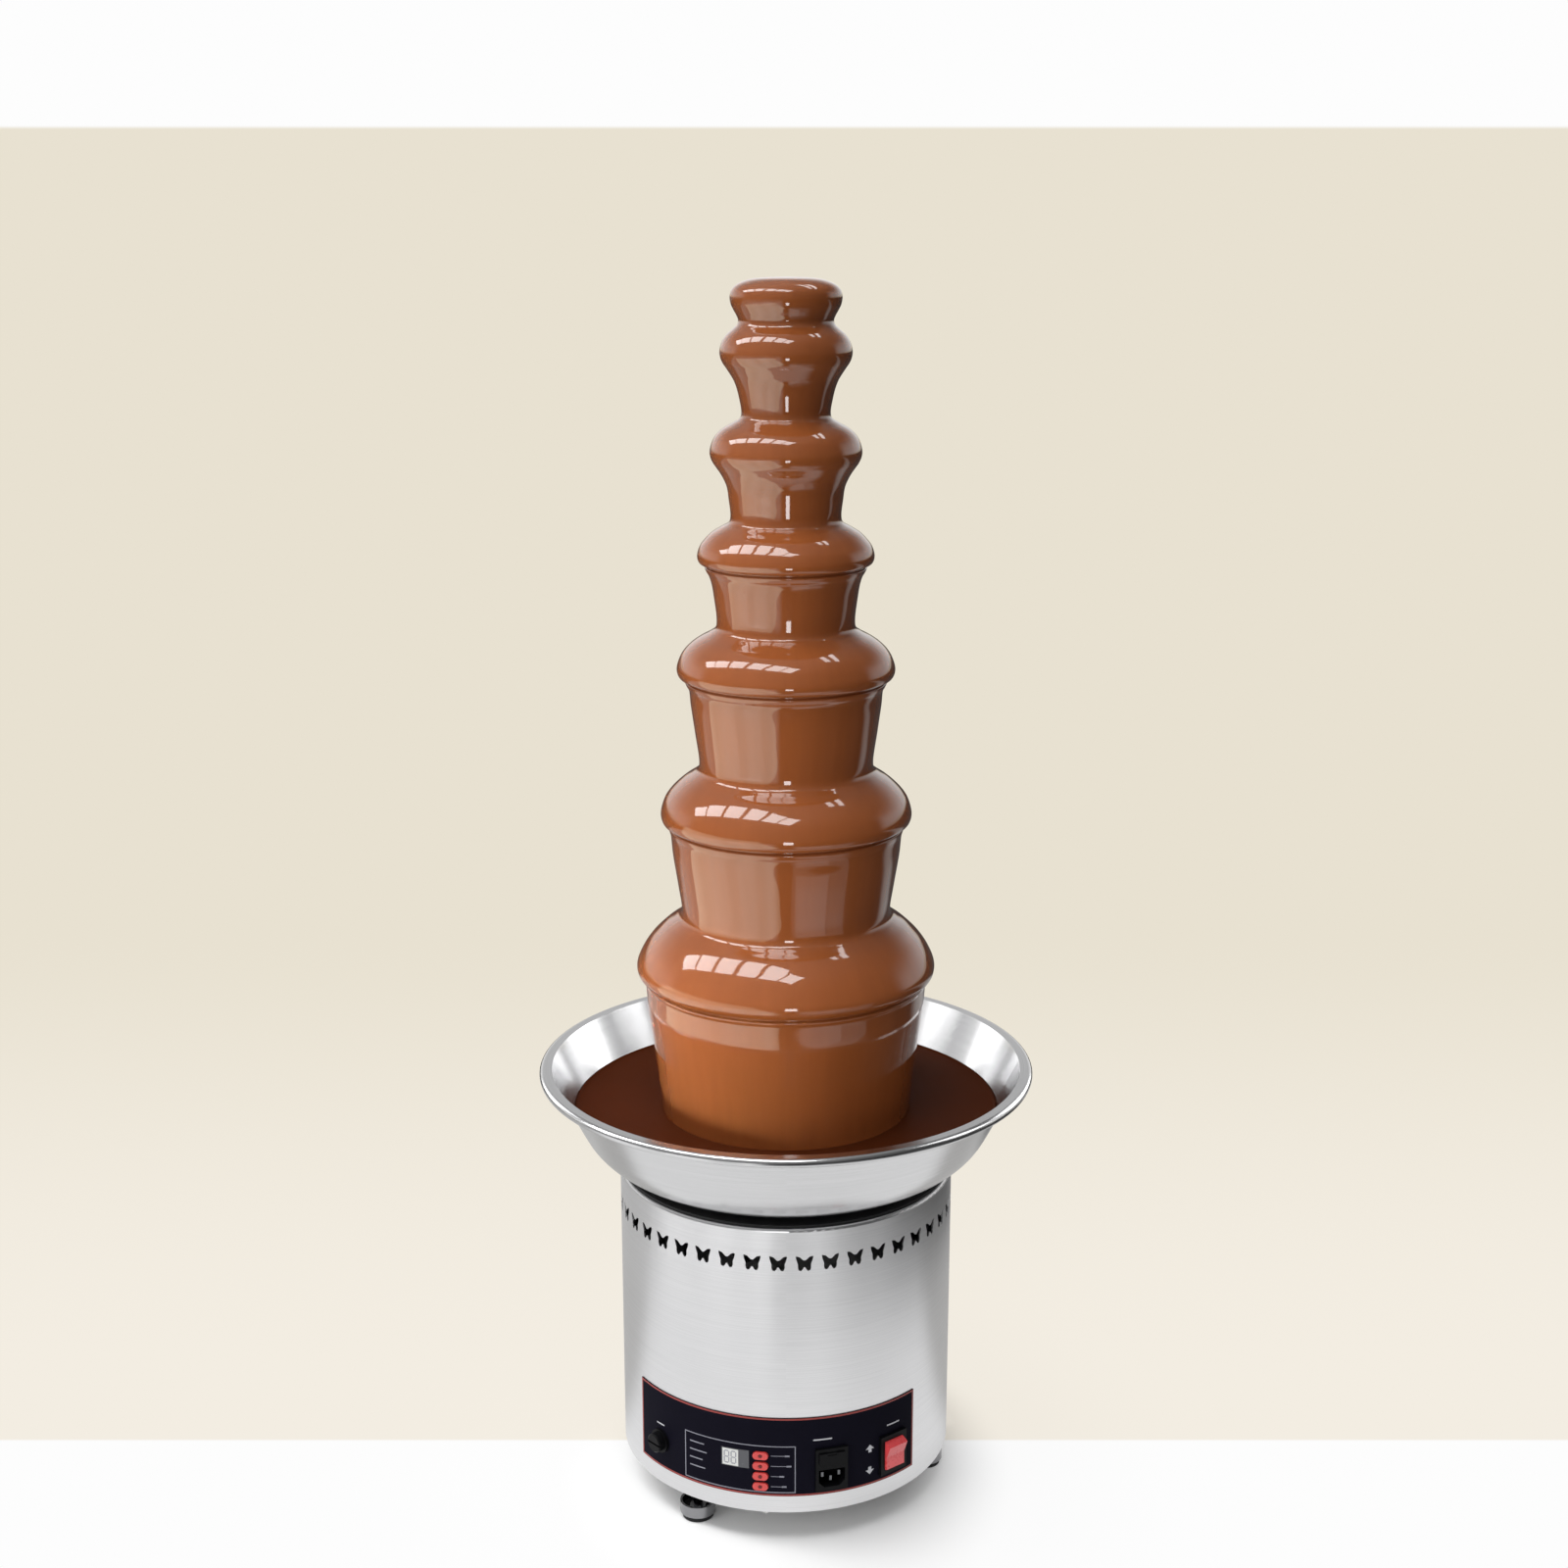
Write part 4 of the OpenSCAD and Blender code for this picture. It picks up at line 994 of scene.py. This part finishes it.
    def lines(self) -> List[List[Pair]]:
        """Draws the field round the buttons, a lead from each button and rows of strokes.

        Returns:
            Their outlines.
        """
        marks = self.outline(self.field_box, self.field_width)
        thin, thick = self.lead_halves
        for k, end in enumerate(self.lead_ends):
            z = self.button_top - k * self.button_pitch
            marks.append(self.bar(self.lead_left, end, z - thin, z + thin))
            marks.append(self.bar(end - self.lead_tip, end, z - thick, z + thick))
        left, half = self.row_left, self.row_half
        for k, length in enumerate(self.row_lengths):
            z = self.row_top - self.row_pitch * k
            marks.append(self.bar(left, left + length, z - half, z + half))
        return marks

    def signs(self) -> List[List[Pair]]:
        """Draws the two arrows and the single strokes.

        Returns:
            Their outlines.
        """
        signs: List[List[Pair]] = []
        left, right = self.arrow_box
        for sign, z in self.arrows:
            tip, root, tail = (z + sign * rise for rise in self.arrow_rises)
            head = [(left, root), (right, root), (self.arrow_tip, tip)]
            stem = self.bar(*self.arrow_stem, min(root, tail), max(root, tail))
            signs += [head if sign > 0 else head[::-1], stem]
        return signs + [self.bar(*box) for box in self.strokes]

    def digits(self) -> List[List[Pair]]:
        """Draws two digits of seven strokes.

        Returns:
            Their outlines.
        """
        digits: List[List[Pair]] = []
        inset, wide, thick = self.digit_across
        apart, thin, tall = self.digit_upright
        for start in self.digit_starts:
            for z in self.digit_across_z:
                digits.append(self.bar(start + inset, start + inset + wide, z, z + thick))
            for z in self.digit_upright_z:
                for a in (start, start + apart):
                    digits.append(self.bar(a, a + thin, z, z + tall))
        return digits

    def dot(self, k: int) -> bpy.types.Object:
        """Makes the dark centre of one button.

        Args:
            k: The button, from 0 at the top.

        Returns:
            The piece.
        """
        a, n = math.radians(self.board_az), self.dot_sides
        outward = Vector((math.sin(a), -math.cos(a), 0))
        across = Vector((math.cos(a), math.sin(a), 0))
        centre = across * self.dot_across
        centre += Vector((0, 0, self.button_top - k * self.button_pitch))
        points: List[Vector] = []
        for depth, radius in self.dot_rings:
            for s in range(n):
                t = math.tau * s / n
                spoke = across * math.cos(t) * radius + Vector((0, 0, math.sin(t) * radius))
                points.append((centre + outward * depth + spoke) * MM)
        back = self.dot_rings[0][0]
        points += [(centre + outward * depth) * MM for depth in (back, self.dot_tip)]
        faces: List[List[int]] = []
        for s in range(n):
            t = (s + 1) % n
            faces += [[s, t, n + t, n + s], [n + s, n + t, 2 * n + t, 2 * n + s]]
            faces += [[t, s, 3 * n], [2 * n + s, 2 * n + t, 3 * n + 1]]
        made = new_piece(f"button_{k + 1}_centre", points, faces, DEEP_RED.material(), True)
        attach(made, f"button_{k + 1}")
        return made

    def build(self) -> List[bpy.types.Object]:
        """Makes the prints, the display's face and the buttons' centres.

        Returns:
            The pieces.
        """
        left, right, low, high = self.film_box
        side, level = self.border_inset
        border = (left + side, right - side, low + level, high - level)
        face = [self.bar(*self.display_box)]
        return [
            self.patch("panel_border", self.outline(border, self.border_width), BORDER),
            self.patch("panel_lines", self.lines(), GREY_INK),
            self.patch("panel_signs", self.signs(), PALE_INK),
            self.patch("display_face", face, WHITE_GLASS, self.display_lift, "display"),
            self.patch("display_digits", self.digits(), GREY_INK, self.digit_lift, "display"),
            *(self.dot(k) for k in range(self.buttons)),
        ]


@dataclass(frozen=True)
class Lamp:
    """A rectangular lamp that the camera doesn't see; its spread is in degrees."""

    name: str
    at: Sequence[float]
    aim: Sequence[float]
    size: Pair
    watts: float
    lit: Optional[Lit] = None
    mirrored: bool = True
    spread: float = 180.0
    tint: Colour = (1.0, 1.0, 1.0)

    def hang(self) -> bpy.types.Object:
        """Adds the lamp to the scene, with its light kept on one piece where it is flagged.

        Returns:
            The lamp.
        """
        data = bpy.data.lights.new(self.name, "AREA")
        data.shape = "RECTANGLE"
        data.size, data.size_y = self.size
        data.energy, data.color = self.watts, self.tint
        data.spread = math.radians(self.spread)
        made = bpy.data.objects.new(self.name, data)
        made.location = self.at
        facing = Vector(self.aim) - Vector(self.at)
        made.rotation_euler = facing.to_track_quat("-Z", "Y").to_euler()
        made.visible_camera = False
        made.visible_glossy = self.mirrored
        bpy.context.scene.collection.objects.link(made)
        if self.lit is not None:
            flag = bpy.data.collections.new(f"{self.name}_lit")
            piece = self.lit.value
            flag.objects.link(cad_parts.get(piece) or bpy.data.objects[piece])
            made.light_linking.receiver_collection = flag
        return made


def around(azimuth: float, reach: float, height: float) -> Place:
    """Finds a place from degrees to the right of the front, distance from the axis and height."""
    turn = math.radians(azimuth)
    return (reach * math.sin(turn), -reach * math.cos(turn), height)


@dataclass
class Studio:
    """Floor, world, lamps and camera.

    The floor is white up to edge_y and cream behind it, and the cream backdrop ends at wall_top,
    which is a slope. Room is the grey space around the object, which lights it and shows in its
    gloss. Shadow is the oval of the floor that is lit by the lamps alone.
    """

    eye: Place = (-0.0016, -1.725, 1.035)
    pitch: float = 14.07
    lens: float = 50.42
    sensor: float = 36.0
    view_end: float = 60.0
    body_heart: Place = (0, 0, 0.5)
    tower_heart: Place = (0, 0, 0.7)
    basin_heart: Place = (0, 0, 0.3)
    panes: int = 6
    pane_size: Pair = (0.68, 1.0)
    pane_pitch: float = 0.84
    pane_watts: float = 16.0
    window_middle: Place = (-1.37, -0.42, 3.42)
    window_along: Place = (-0.739, 0.624, -0.253)
    cream: Colour = (232, 225, 209)
    cream_near: Colour = (243, 237, 226)
    white: Colour = (253, 253, 253)
    mirrored_cream: Colour = (196, 195, 193)
    mirrored_matt: Colour = (244, 244, 244)
    room_low: Rgba = (0.28, 0.28, 0.28, 1)
    room_high: Rgba = (0.66, 0.66, 0.66, 1)
    room_back: float = 0.1
    room_bars: float = 11.0
    floor_half: float = 9.0
    edge_y: float = 0.018
    edge_half: float = 0.002
    wall_top: float = 0.045
    wall_half: float = 0.001
    shadow_y: float = -0.02
    shadow_shape: Pair = (1.2, 0.8)

    def camera(self) -> None:
        """Places the camera at the photograph's viewpoint."""
        data = bpy.data.cameras.new("camera")
        data.lens, data.sensor_width, data.clip_end = self.lens, self.sensor, self.view_end
        made = bpy.data.objects.new("camera", data)
        made.location = self.eye
        made.rotation_euler = (math.radians(90 - self.pitch), 0, 0)
        bpy.context.scene.collection.objects.link(made)
        bpy.context.scene.camera = made

    def window(self) -> None:
        """Hangs a slanting row of panes high up on the left, each in line with the row."""
        heart = Vector(self.tower_heart)
        along = Vector(self.window_along).normalized()
        for k in range(self.panes):
            steps = k - (self.panes - 1) / 2
            at = Vector(self.window_middle) + along * self.pane_pitch * steps
            pane = Lamp(f"window_{k + 1}", at, heart, self.pane_size, self.pane_watts).hang()
            back = (pane.location - heart).normalized()
            level = (along - back * along.dot(back)).normalized()
            pane.rotation_euler = Matrix((level, back.cross(level), back)).transposed().to_euler()

    def lamps(self) -> List[Lamp]:
        """Lists the other lamps: soft ones for all, then those for the flow, the bowl and the base.

        Returns:
            The lamps.
        """
        body, tower, basin = self.body_heart, self.tower_heart, self.basin_heart
        fall, shell = (0, 0, 0.42), (0, 0, 0.15)
        warm, cool = (1.0, 0.94, 0.7), (0.85, 1.0, 1.3)
        flow, bowl = Lit.FLOW, Lit.BOWL
        return [
            Lamp("left", (-2.1, -1.8, 0.8), body, (1.6, 1.6), 20.0, mirrored=False),
            Lamp("front", (0.2, -3.2, 2.6), body, (2.0, 1.6), 8.0, mirrored=False),
            Lamp("top", (0, -0.9, 3.2), body, (1.6, 1.2), 6.0, mirrored=False),
            Lamp("side_1", (0.7, 0.6, 2.9), tower, (1.2, 0.15), 3.0, flow),
            Lamp("side_2", (0.88, 0.76, 2.77), tower, (1.2, 0.15), 3.0, flow),
            Lamp("strip", around(3, 0.9, 0.505), (0, 0, 0.75), (0.13, 0.22), 0.9, flow),
            Lamp("soft_left", around(-60, 0.62, 0.31), tower, (1.25, 0.72), 4.1, flow, tint=warm),
            Lamp("soft_right", around(60, 2.4, 0.6), tower, (1.4, 1.4), 1.8, flow, mirrored=False),
            Lamp(
                "soft_low", around(-62, 1.3, 0.58), (0, 0, 0.31), (0.25, 0.15), 0.27, flow,
                mirrored=False, spread=16.0, tint=cool,
            ),
            Lamp("soft_front_1", around(34, 0.42, 0.315), fall, (0.44, 0.15), 0.07, flow),
            Lamp("soft_front_2", around(25, 0.43, 0.31), fall, (0.24, 0.13), 0.04, flow),
            Lamp("bowl_left", (1.5, 1.3, 1.1), basin, (1.1, 1.1), 8.5, bowl),
            Lamp("bowl_right", (-1.5, 1.3, 1.1), basin, (0.8, 1.1), 5.0, bowl),
            Lamp("bowl_top_1", (1.75, 0.15, 1.7), basin, (0.8, 1.3), 7.5, bowl),
            Lamp("bowl_top_2", (-1.75, 0.15, 1.7), basin, (0.8, 1.3), 7.0, bowl),
            Lamp("base_front", (0.12, -0.9, 0.3), shell, (0.8, 0.5), 2.8, Lit.SHELL),
        ]

    def world(self) -> None:
        """Lights the scene from a soft room, brighter on the left and above.

        Behind the object the camera sees a cream backdrop that ends below a white wall, and
        so does gloss that looks level to the back. Gloss sees the rest darker, least so overhead.
        """
        world = bpy.data.worlds.new("studio")
        bpy.context.scene.world = world
        world.use_nodes = True
        graph = Graph(world.node_tree)
        x, y, z = graph.axes(graph.make("ShaderNodeTexCoord", out="Generated"))
        camera, mirror, through = graph.rays()
        grey = graph.blend(graph.span(z, -0.2, 0.9), self.room_low, self.room_high)
        sides = graph.span(x, -0.9, 0.9, 1.15, 0.28)
        light = sides * (1.0 - mirror * graph.span(z, 0.7, 0.95, 0.4, 0.1))
        soft = graph.make("ShaderNodeBackground", None, {"Color": grey, "Strength": light})
        slope = z / x.math("ABSOLUTE").math("MAXIMUM", y.math("ABSOLUTE"))
        above = graph.edge(slope, self.wall_top, self.wall_half)
        wall = graph.blend(above, rgb(*self.cream), rgb(*self.white))
        seen = graph.make("ShaderNodeBackground", None, {"Color": wall, "Strength": 1.0})
        behind = graph.span(y, 0.0, 0.3) * (1.0 - graph.span(z, 0.15, 0.6))
        behind = behind * graph.span(z, -0.02, 0.0)
        shown = camera.math("MAXIMUM", mirror.math("MAXIMUM", through) * behind)
        mixed = graph.make("ShaderNodeMixShader", None, {0: shown, 1: soft, 2: seen})
        graph.make("ShaderNodeOutputWorld", None, {"Surface": mixed})

    def room(self, graph: Graph, x: Port, y: Port) -> Tuple[Port, Port]:
        """Draws the floor of the darker room that gloss sees in front, beside and far behind.

        Args:
            graph: The floor's graph.
            x: Place across the floor.
            y: Place along the floor.

        Returns:
            The room's grey, and 1 where the room takes the place of the pale floor.
        """
        reach, turn = x.hypot(y), x.math("ARCTAN2", -y)
        bars = graph.span((turn * self.room_bars).math("SINE"), -0.2, 0.9, 1.0, 0.75)
        left = graph.span(turn, -0.25, -0.1, 0.95, 0.06) * graph.span(turn, -1.6, -1.4, 0.3, 1.0)
        right = graph.span(turn, 0.14, 0.26) * graph.span(turn, 1.0, 1.4, 1.0, 0.0)
        grey = left * bars + right * graph.span(reach, 0.8, 1.0, 0.3, 0.0)
        sides = graph.span(x, 0.2, 0.4) + graph.span(x, -0.4, -0.2, 0.6, 0.0)
        beside = sides * graph.span(y, 0.5, 0.9, 1.0, 0.0)
        ahead = graph.span(y, -0.5, -0.25, 1.0, 0.0)
        zone = graph.span(reach, 0.42, 0.62) * ahead.math("MAXIMUM", beside)
        far = graph.span(y, 0.8, 1.2)
        return grey * (1.0 - far) + far * self.room_back, zone.math("MAXIMUM", far)

    def floor_paint(self) -> bpy.types.Material:
        """Paints the floor white in front and cream behind, and matt where the shadow falls.

        Returns:
            The material.
        """
        paint = bpy.data.materials.new("floor_paint")
        paint.use_nodes = True
        graph = Graph(paint.node_tree)
        x, y, _ = graph.axes(graph.spot())
        camera, mirror, through = graph.rays()
        white = rgb(*self.white)
        back = graph.blend(graph.span(y, 0.1, 1.5), rgb(*self.cream_near), rgb(*self.cream))
        tone = graph.blend(graph.edge(y, self.edge_y, self.edge_half), white, back)
        pale = graph.blend(graph.span(y, 0.0, 0.1), white, rgb(*self.mirrored_cream))
        bright = graph.blend(camera, pale, tone)
        glow = graph.make("ShaderNodeEmission", None, {"Color": bright, "Strength": 1.0})
        grey, zone = self.room(graph, x, y)
        plain = graph.blend(camera, rgb(*self.mirrored_matt), tone)
        ground = graph.blend(zone * (1.0 - camera), plain, graph.vector(grey, grey, grey))
        matt = graph.make("ShaderNodeBsdfDiffuse", None, {"Color": ground})
        shown = camera.math("MAXIMUM", mirror.math("MAXIMUM", through) * (1.0 - zone))
        across, along = self.shadow_shape
        depth = y - self.shadow_y
        near = (x * x * across + depth * depth * along).math("SQRT")
        share = graph.span(near, 0.1, 0.22, 0.0, 0.96) + graph.span(near, 0.22, 0.4, 0.0, 0.04)
        share = share.math("MAXIMUM", graph.span(y, self.edge_y, self.edge_y + 0.03, 0.0, 0.7))
        mixed = graph.make("ShaderNodeMixShader", None, {0: shown * share, 1: matt, 2: glow})
        graph.make("ShaderNodeOutputMaterial", None, {"Surface": mixed})
        return paint

    def floor(self) -> None:
        """Lays the floor."""
        half = self.floor_half
        corners = [(-half, -half, 0), (half, -half, 0), (half, half, 0), (-half, half, 0)]
        made = new_piece("floor", corners, [(0, 1, 2, 3)], self.floor_paint(), False)

    def build(self) -> None:
        """Makes the whole studio."""
        bpy.context.scene.view_settings.view_transform = "Standard"
        self.camera()
        self.window()
        for lamp in self.lamps():
            lamp.hang()
        self.world()
        self.floor()


def main() -> None:
    """Builds the scene and notes each dressed or made piece with its material."""
    logging.basicConfig(level=logging.INFO)
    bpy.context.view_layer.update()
    for part in (Base(), Basin(), Drive(), Tower(), Flow(), Panel()):
        for piece in part.dress() + part.build():
            LOG.info("%s: %s in %s", type(part).__name__, piece.name, piece.active_material.name)
    Studio().build()
    bpy.context.view_layer.update()


if __name__ == "__main__":
    main()
